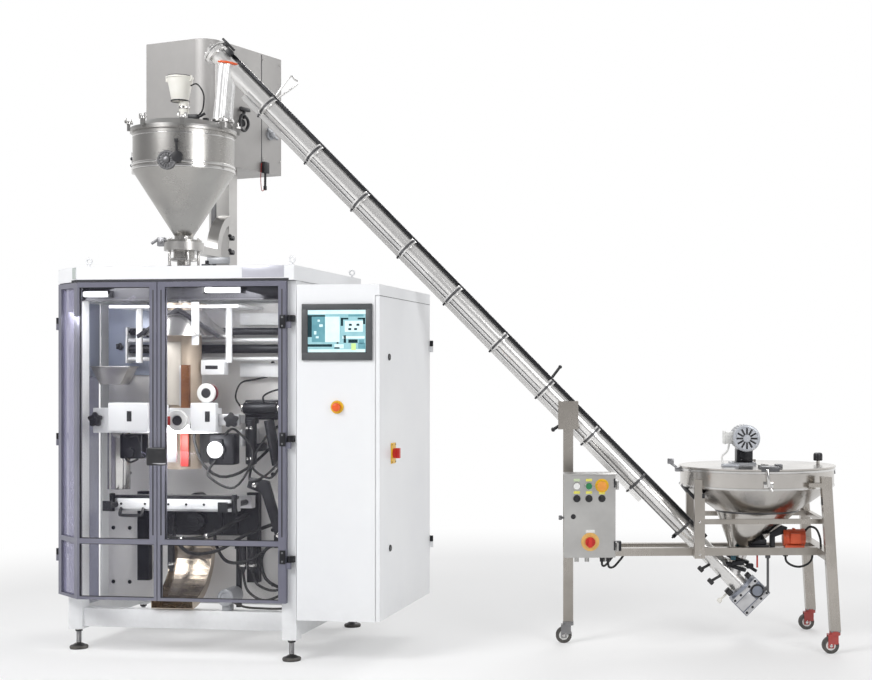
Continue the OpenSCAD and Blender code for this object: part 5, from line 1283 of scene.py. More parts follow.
@dataclass
class Filler:
    """Auger filler on the roof: hopper, cover, outlet, column and drive box."""

    axis: Point = (0.0, 320.0, 0.0)
    spout: tuple[float, float] = (170.3, 389.4)
    nut_r: float = 259.0
    bench: Bench = Bench(MACHINE)
    box: Bench = Bench(DRIVE)

    def build(self) -> None:
        """Dress the filler and add its fittings."""
        dress(Shop.STEEL, "filler_column")
        dress(Shop.STEEL_SHEET, "drive_box")
        dress(Shop.STEEL_ROUND, "filler_hopper")
        dress(Shop.STEEL_DARK, "hopper_cover")
        dress(Shop.CREAM, "auger_motor")
        dress(Shop.STEEL_BRIGHT, "filler_auger")
        self._hopper()
        self._lid()
        self._spout()
        self._outlet()
        self._column()
        self._drive_box()

    def _hopper(self) -> None:
        """Rolled bands, the ribbed port with its lever and the clamp at the left."""
        b = self.bench
        bands = [b.turned(ring(240.5, out, low, high, soft), self.axis, steps=72)
                 for out, low, high, soft in ((246.5, 2336, 2350, 2.5), (246.5, 2357, 2369, 2.5),
                                              (243, 2496, 2502, 1))]
        b.put(bands, "hopper_bands", Shop.STEEL_BRIGHT)
        disc = b.turned([(0, -6), (45, -6), (46, -4), (46, 10), (43, 13), (37, 13), (35, 8), (17, 8), (15, 16),
                         (9, 18),
                         (0, 18)], (0, 0, 0))
        ribs = b.repeat(b.block((18, -2, 6), (36, 2, 12.5), 0.8),
                        turns(14))
        port = b.repeat(b.weld([disc, ribs]), [spot(24, 81, 2363, (0.10, -0.995, 0))])
        b.put(port, "hopper_port", Shop.GUNMETAL)
        lever = [b.drum((70, 96, 2378), (79, 66, 2378), 27, 3.0), b.drum((75, 76, 2384), (75, 68, 2448), 6, 1.5, 16),
                 b.drum((75, 69, 2444), (75, 67, 2464), 9, 3.0, 16)]
        b.put(lever, "port_lever", Shop.BLACK)
        b.put(b.block((-264, 300, 2330), (-240, 340, 2440), 3.0), "hopper_clamp", Shop.STEEL_BRIGHT)
        pins = [b.drum((-256, 288, z), (-256, 352, z), 9, 1.5, 18) for z in (2372, 2405)]
        b.put(pins, "hopper_clamp_pins", Shop.BLACK_METAL)

    def _lid(self) -> None:
        """Wing nuts round the rim, fittings on the lid, the level unit's rim and its cable."""
        b = self.bench
        nut = b.weld([b.turned(ring(8.4, 14, 2562.5, 2574, 1.5), (0, 0, 0), steps=18),
                      b.block((-3, 11, 2565), (3, 27, 2590), 2.0), b.block((-3, -27, 2565), (3, -11, 2590), 2.0)])
        ways = [math.radians(45 * (i + 0.5)) for i in range(8)]
        spots = [spot(self.nut_r * math.cos(a), 320 + self.nut_r * math.sin(a), 0, (0, 0, 1),
                      math.degrees(a) + 35 * i)
                 for i, a in enumerate(ways)]
        b.put(b.repeat(nut, spots), "lid_wing_nuts", Shop.STEEL_BRIGHT)
        bright = [b.drum((58, 296, 2562), (58, 296, 2614), 13, 2.0, 24),
                  b.drum((104, 330, 2560), (104, 330, 2590), 10, 2.0, 20),
                  b.turned(ring(24.3, 33, 2586, 2606, 2.5), self.axis, steps=36),
                  b.turned(ring(24.3, 29, 2650, 2662, 2.0), self.axis, steps=36)]
        b.put(bright, "lid_fittings", Shop.STEEL_BRIGHT)
        dark = [b.block((36, 278, 2594), (88, 306, 2616), 4.0, 3),
                b.drum((88, 292, 2604), (118, 300, 2622), 7, 1.5, 16),
                b.block((96, 318, 2588), (122, 342, 2604), 3.0)]
        b.put(dark, "lid_valve", Shop.BLACK)
        rim = [b.turned(ring(57, 65.5, 2798, 2806, 1.5), (-20, 320, 0), steps=40)]
        rim += [b.block((-20 + s * 58 - 9, 300, 2782), (-20 + s * 58 + 9, 316, 2812), 3.0) for s in (-1, 1)]
        b.put(rim, "level_unit_rim", Shop.CREAM)
        seal = [b.turned(ring(60, 64.6, 2807.4, 2810.6, 0.5), (-20, 320, 0), steps=40),
                b.turned(ring(40, 45, 2686, 2692, 1.0), (-20, 320, 0), steps=32)]
        b.put(seal, "level_unit_seals", Shop.BLACK_METAL)
        cable = b.wire([(36, 320, 2764), (74, 308, 2768), (110, 300, 2716), (106, 300, 2644), (86, 296, 2612)], 3.6)
        b.put(cable, "level_unit_cable", Shop.RUBBER)

    def _spout(self) -> None:
        """Pale sleeve with its clamp between the feeder's mouth and the lid."""
        b = self.bench
        x, y = self.spout
        folds = []
        for i in range(48):
            a = math.tau * i / 48
            r = 47 + 4.5 * math.cos(6 * a) + 1.5 * math.cos(11 * a)
            folds.append((r * math.cos(a), r * math.sin(a)))
        levels = [(2588, 1.06, 0), (2620, 1.0, 2), (2700, 0.96, 9), (2790, 0.98, 17), (2850, 1.02, 24),
                  (2886, 0.94, 30)]
        verts = [(0.001 * (x + s * px + lean), 0.001 * (y + s * py), 0.001 * z) for z, s, lean in levels
                 for px, py in folds]
        faces = [(48 * k + i, 48 * k + (i + 1) % 48, 48 * (k + 1) + (i + 1) % 48, 48 * (k + 1) + i)
                 for k in range(len(levels) - 1) for i in range(48)]
        sleeve = b._from(verts, [], faces)
        b._edit(lambda: bpy.ops.mesh.normals_make_consistent(inside=False))
        thick = sleeve.modifiers.new("thickness", "SOLIDIFY")
        thick.thickness = 0.003
        bpy.ops.object.modifier_apply(modifier=thick.name)
        b.put(sleeve, "spout_sleeve", Shop.SLEEVE, smooth=60)
        band = b.turned(ring(40, 57, 2588, 2604, 3.0), (x, y, 0), steps=40)
        b.put([band, b.block((x - 9, y - 68, 2589), (x + 9, y - 52, 2603), 2.0)], "sleeve_clamp", Shop.STEEL_BRIGHT)
        gasket = b.turned(ring(38, 55, -5, 5, 3.0), (x + 29, y, 2882), (0.14, 0, 0.99), 40)
        b.put(gasket, "sleeve_gasket", Shop.ORANGE_RED)

    def _outlet(self) -> None:
        """Bolts, toggle clamp, base flange and tie rods below the cone."""
        b = self.bench
        spots = [spot(75 * math.cos(a), 320 + 75 * math.sin(a), 2002, (0, 0, 1), 20 * i)
                 for i, a in enumerate(math.tau * k / 6 for k in range(6))]
        b.put(b.repeat(hex_bolt(b, 7.0, 9.0), spots), "outlet_bolts", Shop.STEEL_BRIGHT)
        toggle = [b.block((-132, 300, 1974), (-92, 326, 2018), 4.0),
                  b.drum((-128, 313, 2010), (-160, 300, 1986), 7, 2.0, 16),
                  b.drum((-112, 296, 1996), (-112, 330, 1996), 9, 1.5, 18)]
        b.put(toggle, "outlet_toggle", Shop.FORK)
        base = [b.turned(ring(52, 92, 1852.2, 1864, 2.5), self.axis, steps=48),
                b.turned(ring(50.6, 62, 1900, 1914, 2.0), self.axis)]
        ties = [(70 * math.cos(a), 320 + 70 * math.sin(a)) for a in (0.6, 2.2, 3.8, 5.4)]
        base += [b.drum((x, y, 1862), (x, y, 1951), 6.5, 0.5, 16) for x, y in ties]
        b.put(base, "outlet_base", Shop.STEEL_BRIGHT)
        dark = [b.drum((x, y, 1863.5), (x, y, 1876), 12, 1.0, 6) for x, y in ties]
        dark += [b.block((98, 300, 1852.4), (142, 336, 1884), 3.0),
                 b.drum((120, 318, 1880), (120, 318, 1902), 9, 2.0, 18)]
        b.put(dark, "outlet_nuts", Shop.BLACK_METAL)

    def _column(self) -> None:
        """Painted shadow strip, levers and clamp of the upright that carries the yoke."""
        b = self.bench
        # Dark strip on the column's front: painted shadow of the yoke.
        b.put(b.block((-100, 883.4, 1880), (-72, 885.6, 2440), 0.4), "column_shadow_strip", Shop.GUNMETAL)
        for i, z in enumerate((1992, 2068)):
            lever = [b.drum((-2.4, 906, z), (18, 906, z), 13, 2.0, 20),
                     b.drum((12, 906, z), (20, 850, z + 6), 6, 2.0, 16),
                     b.drum((20, 850, z + 6), (21, 838, z + 7), 10, 4.0, 18)]
            b.put(lever, f"column_lever_{i}", Shop.BLACK)
        clamp = [b.block((-120, 872, 1930), (6, 886, 1966), 3.0), b.block((-124, 868, 1872), (10, 886, 1904), 3.0)]
        b.put(clamp, "column_clamps", Shop.CASTING)

    def _drive_box(self) -> None:
        """Door seam, handle with its ring, latch and cable entry of the drive box."""
        d = self.box
        d.put(d.block((-0.3, 428, 2452), (0.8, 433, 3086), 0.2), "drive_door_seam", Shop.CEILING)
        handle = [d.block((14, 222, 2748), (32, 300, 2768), 5.0, 3),
                  d.drum((-1, 261, 2758), (24, 261, 2758), 9, 1.5, 20),
                  d.block((10, 254, 2708), (24, 268, 2758), 3.0)]
        handle.append(d.wire([(22, 255, 2728), (23, 284, 2706), (24, 288, 2676), (23, 264, 2646), (23, 232, 2650),
                              (22, 222, 2684),
                              (22, 230, 2716)], 8.0, 5, True, 3))
        handle.append(d.drum((-1, 258, 2686), (15, 258, 2686), 20, 3.0, 24))
        d.put(handle, "drive_door_handle", Shop.BLACK)
        latch = [d.block((0.3, 426, 2440), (24, 470, 2503), 4.0, 3),
                 d.drum((13, 446, 2442), (13, 444, 2352), 6.5, 2.0, 16),
                 d.drum((13, 444, 2372), (13, 444, 2348), 9.5, 3.0, 18)]
        d.put(latch, "drive_latch", Shop.BLACK)
        cord = d.wire([(4, 424, 2494), (6, 417, 2450), (7, 415, 2390), (10, 420, 2344), (13, 436, 2350)], 2.2)
        d.put(cord, "drive_latch_pull", Shop.WHEEL_RED)
        entry = [d.drum((-1, 500, 2659), (10, 500, 2659), 30, 2.0, 28),
                 d.drum((8, 500, 2659), (27, 500, 2659), 17, 2.0, 6),
                 d.drum((12, 500, 2659), (18, 546, 2640), 8, 2.0, 18),
                 d.drum((12, 500, 2659), (16, 462, 2690), 7, 2.0, 18)]
        d.put(entry, "drive_cable_entry", Shop.CASTING)
        screws = [spot(0, y, z, (1, 0, 0)) for y in (446, 590) for z in (2520, 2790, 3060)]
        d.put(d.repeat(cap_screw(d, 6.0, 3.0), screws), "drive_door_screws", Shop.STEEL_BRIGHT)


@dataclass
class ScrewFeeder:
    """Sloping feeder tube with the painted dark reflection along its top, clamps and levers, along the tube's own
    axis.
    """

    collar_s: float = 360.0
    collar_step: float = 327.0
    collars: int = 10
    end_s: float = 3714.0
    bench: Bench = Bench(PIPE)

    def build(self) -> None:
        """Dress the feeder and add its fittings."""
        dress(Shop.STEEL_TUBE, "feeder_tube")
        dress(Shop.STEEL_BRIGHT, "feeder_screw")
        dress(Shop.MOTOR_BLUE, "feeder_drive")
        self._top_reflection_strip()
        self._clamps()
        self._head()
        self._drive()

    def _top_reflection_strip(self) -> None:
        """Dark strip on the upper side, a painted reflection of the tube's upper edge, with a bright line on it, and
        the lead beside it.
        """
        b = self.bench
        # Dark strip along the tube's top: a painted reflection.
        b.put(b.block((-60, -11, 60), (-43.2, 11, 3420), 2.0), "feeder_top_dark_reflection", Shop.BLACK_METAL)
        b.put(b.block((-61.2, -6.5, 66), (-59.6, -2.5, 3414), 0.4), "feeder_top_bright_line", Shop.STEEL_BRIGHT)
        seams = [b.block((x, y - 1.2, 250), (x + 4, y + 1.5, 3300), 0.4) for x, y in ((18, -39.6), (38, -22.0))]
        b.put(seams, "feeder_seams", Shop.GUNMETAL)
        lead = b.wire([(-46, -22, 120), (-43, -25, 700), (-44, -24, 1400), (-43, -25, 2100), (-44, -24, 2800),
                       (-46, -22, 3400)], 4.0, 4)
        b.put(lead, "feeder_lead", Shop.RUBBER)

    def _clamps(self) -> None:
        """Ears of the tube clamps, the wire handle and the two levers."""
        b = self.bench
        ss = [self.collar_s + self.collar_step * i for i in range(self.collars)]
        ear = b.weld([b.block((-70, -11, -9), (-52, 11, 9), 3.0), b.drum((-63, -16, 0), (-63, 16, 0), 5, 1.2, 16),
                      b.drum((-70, 0, 0), (-76, 0, 0), 5, 1.2, 6)])
        b.put(b.repeat(ear, [spot(0, 0, s) for s in ss]), "clamp_ears", Shop.BLACK_METAL)
        band = b.turned(ring(53.6, 55.6, -6, 6, 0.8), (0, 0, 0), steps=40)
        b.put(b.repeat(band, [spot(0, 0, s) for s in ss]), "clamp_bands", Shop.GUNMETAL)
        s = ss[0] - 4
        loop = b.wire([(-66, 0, s - 8), (-178, 0, s - 26), (-186, 0, s - 2), (-180, 0, s + 24), (-66, 0, s + 8)], 4.2,
                      5)
        b.put(loop, "clamp_wire_handle", Shop.STEEL_BRIGHT)
        lever = [b.drum((-50, 0, 2308), (-130, -8, 2296), 7, 2.0, 18),
                 b.drum((-126, -30, 2298), (-126, 14, 2296), 9, 4.0, 20)]
        b.put(lever, "tube_lever", Shop.BLACK)
        under = [b.drum((34, -22, 2514), (120, -30, 2495), 8, 2.0, 18),
                 b.drum((118, -58, 2496), (118, -4, 2494), 10, 4.0, 20)]
        b.put(under, "saddle_lever", Shop.BLACK)

    def _head(self) -> None:
        """Cap, toggles and bolts at the upper end."""
        b = self.bench
        cap = [b.turned([(0, -50), (18, -50), (24, -46), (24, -30), (34, -26), (34, -24), (0, -24)], (0, 0, 0)),
               b.turned(ring(59.5, 63, -22, -12, 2.0), (0, 0, 0), steps=48)]
        b.put(cap, "feeder_head_cap", Shop.STEEL_BRIGHT)
        spots = [spot(46 * math.cos(a), 46 * math.sin(a), -26, (0, 0, -1), 15 * i)
                 for i, a in enumerate(math.tau * k / 6 + 0.3 for k in range(6))]
        b.put(b.repeat(hex_bolt(b, 7.0, 8.0), spots), "feeder_head_bolts", Shop.STEEL_BRIGHT)
        dark = [b.block((-80, -16, -14), (-56, 16, 12), 4.0), b.drum((-74, -40, -24), (-74, -40, 60), 6, 2.5, 18),
                b.drum((-74, -46, 0), (-74, 24, 0), 7, 2.0, 18), b.block((-66, -52, 30), (-36, -22, 66), 4.0)]
        b.put(dark, "feeder_head_toggles", Shop.BLACK)

    def _drive(self) -> None:
        """Ribbed cover plates, motor fins and fan cover of the gear motor, with the toggles and knob at its end."""
        b = self.bench
        s = self.end_s
        plates = [b.block((x0, -55.5, s + z0), (x1, -51.6, s + z1), 1.2) for x0, x1, z0, z1 in
                  ((-80, 80, 17, 40), (-10, 80, 44, 96), (-80, 80, 101, 123))]
        plates += [b.block((x, -51, s + 18), (x + 2.6, 51, s + 122), 0.8) for x in (-85.2, 82.6)]
        b.put(plates, "gear_cover_plates", Shop.ALLOY)
        eye = b.turned([(0, 62), (24, 62), (27, 66), (31, 66), (33, 62), (33, 50), (0, 50)], (-44, 0, s + 70), FRONT)
        b.put(eye, "gear_cover_ring", Shop.BLACK)
        bolts = [spot(x, -55.5, s + z, FRONT, x) for x in (-70, -30, 30, 70) for z in (28, 112)]
        b.put(b.repeat(hex_bolt(b, 5.0, 5.0), bolts), "gear_cover_bolts", Shop.BLACK_METAL)
        fin = b.block((49.4, -1.6, 70), (56, 1.6, 196), 0.8)
        turn = spot(0, 0, s + 70, (0, 1, 0))
        fins = b.repeat(fin, [turn @ t for t in turns(18)])
        b.put(fins, "feeder_motor_fins", Shop.MOTOR_BLUE)
        fan = b.turned(ring(49.7, 56, 200, 238, 4.0), (0, 0, s + 70), (0, 1, 0), 40)
        b.put(fan, "feeder_motor_fan_cover", Shop.GUNMETAL)
        toggles = [b.block((-78, -46, s - 26), (-50, -10, s - 2), 4.0),
                   b.block((46, -46, s - 40), (76, -12, s - 4), 4.0),
                   b.drum((-64, -46, s - 14), (-64, -62, s - 14), 9, 2.0, 18),
                   b.drum((62, -46, s - 22), (62, -64, s - 22), 9, 2.0, 18),
                   b.drum((32, -24, s - 108), (92, -40, s - 126), 7, 2.0, 18),
                   b.drum((90, -40, s - 142), (90, -40, s - 108), 11, 4.0, 20),
                   b.drum((32, -24, s - 186), (84, -40, s - 204), 7, 2.0, 18),
                   b.drum((82, -40, s - 220), (82, -40, s - 188), 11, 4.0, 20)]
        b.put(toggles, "feeder_end_toggles", Shop.BLACK)
        pale = [b.drum((36, -8, s - 18), (120, -30, s - 24), 5, 1.0, 16),
                b.drum((116, -29, s - 24), (134, -35, s - 25), 13, 4.0, 20)]
        b.put(pale, "feeder_end_knob", Shop.CREAM)


@dataclass
class Cart:
    """Wheeled cart: hopper with its lid, stirrer motor, vibrator, frame fittings and casters."""

    bin_u: float = 2773.9
    leg_u: float = 3066.0
    motor: Point = (2708.0, -120.0, 1025.0)
    bench: Bench = Bench(FEEDER)

    def build(self) -> None:
        """Dress the cart and add its fittings."""
        dress(Shop.STEEL_CART, "cart_frame")
        dress(Shop.STEEL_BIN, "cart_hopper", "cart_cover", "cart_flap")
        dress(Shop.CASTING, "agitator_motor")
        dress(Shop.VIBRATOR, "vibrator_motor")
        dress(Shop.FORK, "left_caster")
        dress(Shop.WHEEL_RED, "front_caster", "rear_caster")
        dress(Shop.RUBBER, "left_wheel", "front_wheel", "rear_wheel")
        self._bin()
        self._stirrer()
        self._rim()
        self._vibrator()
        self._frame()
        self._valve()
        self._casters()

    def _bin(self) -> None:
        """Rolled beads of the band and the weld line between the two cones."""
        b = self.bench
        beads = [b.turned(ring(384.4, out, low, high, 2.0), (self.bin_u, 0, 0), steps=96)
                 for out, low, high in ((389.5, 866, 879), (388.5, 786, 797))]
        b.put(beads, "bin_beads", Shop.STEEL_BRIGHT)
        seam = b.turned([(201, 655), (207.5, 657), (212, 662.5), (209, 668), (201, 664), (201, 655)],
                        (self.bin_u, 0, 0), steps=72)
        b.put(seam, "bin_cone_seam", Shop.GUNMETAL)

    def _stirrer(self) -> None:
        """Fins, fan cover, terminal box lid, bracket and cable of the stirrer motor."""
        b = self.bench
        u, v, z = self.motor
        fin = b.block((61, -1.6, -160), (67, 1.6, -40), 0.8)
        upper = [Matrix.Rotation(math.radians(a), 4, "Z") for a in range(-40, 221, 13)]
        seat = spot(u, v, z, FRONT)
        b.put(b.repeat(fin, [seat @ Matrix.Rotation(math.pi / 2, 4, "Z") @ t for t in upper]), "stirrer_fins",
              Shop.ALLOY)
        cover = b.turned([(61.6, -34), (66, -32), (67, -26), (67, -4), (63, 2), (56, 4), (54, 1.2), (16, 1.2),
                          (15, 4.5), (0, 5),
                          (0, 0.2), (61.6, 0.2), (61.6, -34)], self.motor, FRONT, 40)
        b.put(cover, "stirrer_fan_cover", Shop.BLUE_GREY)
        slot = b.block((19, -4.6, 0.9), (52, 4.6, 1.9), 0.3)
        b.put(b.repeat(slot, [seat @ t for t in turns(12)]), "stirrer_fan_slots", Shop.BLACK)
        box = [b.block((u - 101, v + 67, z - 29), (u - 56, v + 152, z + 31), 4.0, 3),
               b.block((u - 104, v + 66, z - 32), (u - 98, v + 153, z + 34), 1.5)]
        b.put(box, "stirrer_terminal_box", Shop.WHITE_PLASTIC)
        gear = [b.block((u - 40, v + 73, 902), (u + 40, v + 166, 968), 5.0, 3),
                b.drum((u, v + 74, 938), (u, v + 62, 938), 27, 3.0),
                b.block((u - 54, v + 60, 888.3), (u + 46, v + 176, 903), 2.0)]
        b.put(gear, "stirrer_gear_cover", Shop.BLACK_METAL)
        b.put(b.block((u - 20, v + 70, 915), (u - 4, v + 73.4, 945), 1.0), "stirrer_gear_plate", Shop.ALLOY)
        cable = b.wire([(u - 80, v + 70, z - 26), (u - 92, v + 40, z - 62), (u - 122, v + 10, 936),
                        (u - 120, v - 6, 900)], 5.0)
        b.put(cable, "stirrer_cable", Shop.WHITE_PLASTIC)
        b.put(b.block((2585, -160, 888.2), (2664, -70, 899), 2.5), "lid_plate", Shop.BLUE_GREY)

    def _rim(self) -> None:
        """Clips round the rim and the black knob of the flap."""
        b = self.bench
        u = self.bin_u
        plate = [b.block((u - 34, -398, 879.5), (u + 54, -300, 903), 3.0),
                 b.block((u + 40, -360, 888), (u + 74, -318, 912), 3.0)]
        b.put(plate, "rim_clip_plate", Shop.GUNMETAL)
        lever = [b.drum((u - 6, -400, 892), (u + 2, -404, 806), 9, 3.0, 18),
                 b.block((u - 24, -402, 800), (u + 24, -386, 830), 4.0),
                 b.drum((u + 2, -402, 812), (u + 20, -410, 782), 7, 3.0, 18)]
        b.put(lever, "rim_clip_lever", Shop.STEEL_BRIGHT)
        wing = [b.drum((u - 386, -8, 862), (u - 438, -16, 900), 6, 1.0, 16),
                b.block((u - 452, -24, 894), (u - 420, -10, 922), 4.0),
                b.block((u - 414, -28, 856), (u - 382, 8, 878), 4.0)]
        b.put(wing, "rim_wing_bolt", Shop.FORK)
        right = [b.drum((u + 380, -10, 864), (u + 390, -12, 868), 5, 1.0, 16),
                 b.drum((u + 387, -12, 867), (u + 394, -13, 870), 8, 2.0, 18),
                 b.drum((u + 390, -12, 868), (u + 393, -13, 842), 4, 1.0, 16)]
        b.put(right, "rim_bolt_right", Shop.FORK)
        knob = b.turned([(0, 908), (20.6, 908), (23, 912), (23, 938), (20, 946), (12, 948.5), (0, 949)], (3084, 0, 0),
                        steps=32)
        b.put(knob, "flap_knob", Shop.BLACK, "cart_flap")

    def _vibrator(self) -> None:
        """End caps, foot bolts, bracket and cable of the vibrator motor."""
        b = self.bench
        caps = [b.drum((2890, -96, 533), (2912, -96, 533), 43, 5.0, 10),
                b.drum((2978, -96, 533), (3000, -96, 533), 43, 5.0, 10)]
        caps += [b.drum((2912, -96, 533), (2978, -96, 533), 40.5, 3.0, 10)]
        rib = b.block((-6, -1.4, 40), (6, 1.4, 47), 0.6)
        b.put(caps, "vibrator_caps", Shop.VIBRATOR)
        around = [spot(2945, -96, 533, (0, math.cos(a), math.sin(a))) for a in (math.tau * i / 10 for i in range(10))]
        b.put(b.repeat(rib, around), "vibrator_ribs", Shop.VIBRATOR)
        bolts = [spot(u, v, 497, (0, 0, 1), u) for u in (2908, 2982) for v in (-114, -76)]
        b.put(b.repeat(hex_bolt(b, 7.0, 9.0), bolts), "vibrator_bolts", Shop.STEEL_BRIGHT)
        arm = b.slab([(2822, -110, 556), (2884, -110, 594), (2912, -110, 584), (2904, -110, 556), (2836, -110, 532)],
                     (0, 18, 0), 2.0)
        foot = b.block((2826, -110, 485.2), (2850, -72, 545), 3.0)
        b.put([arm, foot], "vibrator_bracket", Shop.BLACK_METAL)
        cable = b.wire([(2996, -98, 556), (3022, -100, 584), (3056, -100, 574), (3076, -100, 530), (3080, -100, 484)],
                       5.5)
        b.put(cable, "vibrator_cable", Shop.RUBBER)
        shelf = [b.block((2722, -100, 485.2), (2822, 100, 494), 1.5), b.block((2738, -84, 493), (2812, 20, 520), 4.0)]
        b.put(shelf, "beam_shelf", Shop.BLACK_METAL)

    def _frame(self) -> None:
        """Clamps on posts and legs, struts, tube ends and the cable loop under the beam."""
        b = self.bench
        dark = []
        for s in (-1, 1):
            dark += [b.block((2437, s * 215 - 25, 726), (2487, s * 215 + 25, 760), 4.0),
                     b.block((self.leg_u - 25, s * 330 - 25, 712), (self.leg_u + 25, s * 330 + 25, 776), 4.0),
                     b.drum((2440, s * 205, 738), (2394, s * 60, 792), 8, 2.0, 16),
                     b.block((2440, s * 215 - 22, 640), (2484, s * 215 + 22, 654), 2.0)]
        b.put(dark, "cart_clamps", Shop.BLACK_METAL)
        loop = b.wire([(2904, -92, 447), (2908, -94, 415), (2934, -96, 394), (2972, -97, 386), (3012, -96, 398),
                       (3034, -94, 420), (3040, -92, 447)], 5.5)
        b.put([loop, b.block((2892, -104, 438), (2916, -80, 450), 3.0)], "beam_cable", Shop.RUBBER)
        rods = [b.drum((2815, -100, 448), (2815, -100, 256), 6.5, 1.5, 16),
                b.drum((2815, -100, 448), (2815, -100, 430), 13, 3.0, 18),
                b.drum((2815, -100, 290), (2796, -94, 268), 8, 2.0, 16)]
        b.put(rods, "beam_rod", Shop.GUNMETAL)
        red = b.drum((2762, -100, 448), (2762, -100, 384), 4.5, 1.0, 14)
        b.put(red, "beam_red_rod", Shop.SEAL_RED)
        spots = [spot(2462, s * 215, z, (0, s, 0)) @ Matrix.Translation((0, 0, 0.0192)) for s in (-1, 1)
                 for z in (466, 624)]
        b.put(b.repeat(hex_bolt(b, 6.0, 7.0), spots), "cart_post_bolts", Shop.STEEL_BRIGHT)
        plugs = [b.block((1806, v - 20.5, 484), (1844, v + 20.5, 489), 1.0) for v in (-100, 100)]
        b.put(plugs, "beam_plugs", Shop.BLACK)

    def _valve(self) -> None:
        """Clamp rings and handle of the slide valve under the hopper."""
        b = self.bench
        lean = (0.343, 0, 0.939)
        rings = [b.turned(ring(41, 60, -9, 9, 3.0), at, lean, 40) for at in ((2678, 0, 416), (2664, 0, 378))]
        rings += [b.block((2640, -78, 392), (2700, -52, 412), 4.0),
                  b.drum((2610, -58, 402), (2646, -62, 396), 8, 3.0, 18),
                  b.block((2716, -60, 372), (2750, -20, 396), 4.0),
                  b.drum((2734, -40, 378), (2764, -60, 360), 8, 2.0, 18)]
        b.put(rings, "valve_clamps", Shop.BLACK_METAL)
        b.put(b.block((2634, -80, 418), (2660, -56, 468), 5.0, 3), "valve_handle", Shop.TEAL)
        collar = b.turned(ring(40.5, 66, -4, 4, 1.5), (2672, 0, 398), lean, 40)
        b.put(collar, "valve_body", Shop.STEEL_BRIGHT)

    def _casters(self) -> None:
        """Hub caps, top plates and axle nuts of the casters."""
        b = self.bench
        for name, u, v in (("left", 1825.0, 0.0), ("front", 3105.0, -330.0), ("rear", 3105.0, 330.0)):
            hub = [b.turned(ring(8.4, 24, 12.6, 15.6, 1.0), (u - 22, v, 40), (0, s, 0), 28) for s in (-1, 1)]
            b.put(hub, name + "_wheel_hub", Shop.WHITE_PLASTIC, name + "_wheel")
            plate = b.block((u - 24, v - 24, 104), (u + 24, v + 24, 109.6), 1.5)
            b.put(plate, name + "_caster_plate", Shop.FORK, name + "_caster")
            nuts = [b.drum((u - 22, v + s * 20.3, 40), (u - 22, v + s * 27, 40), 8.5, 1.0, 6) for s in (-1, 1)]
            b.put(nuts, name + "_axle_nuts", Shop.STEEL_BRIGHT, name + "_caster")


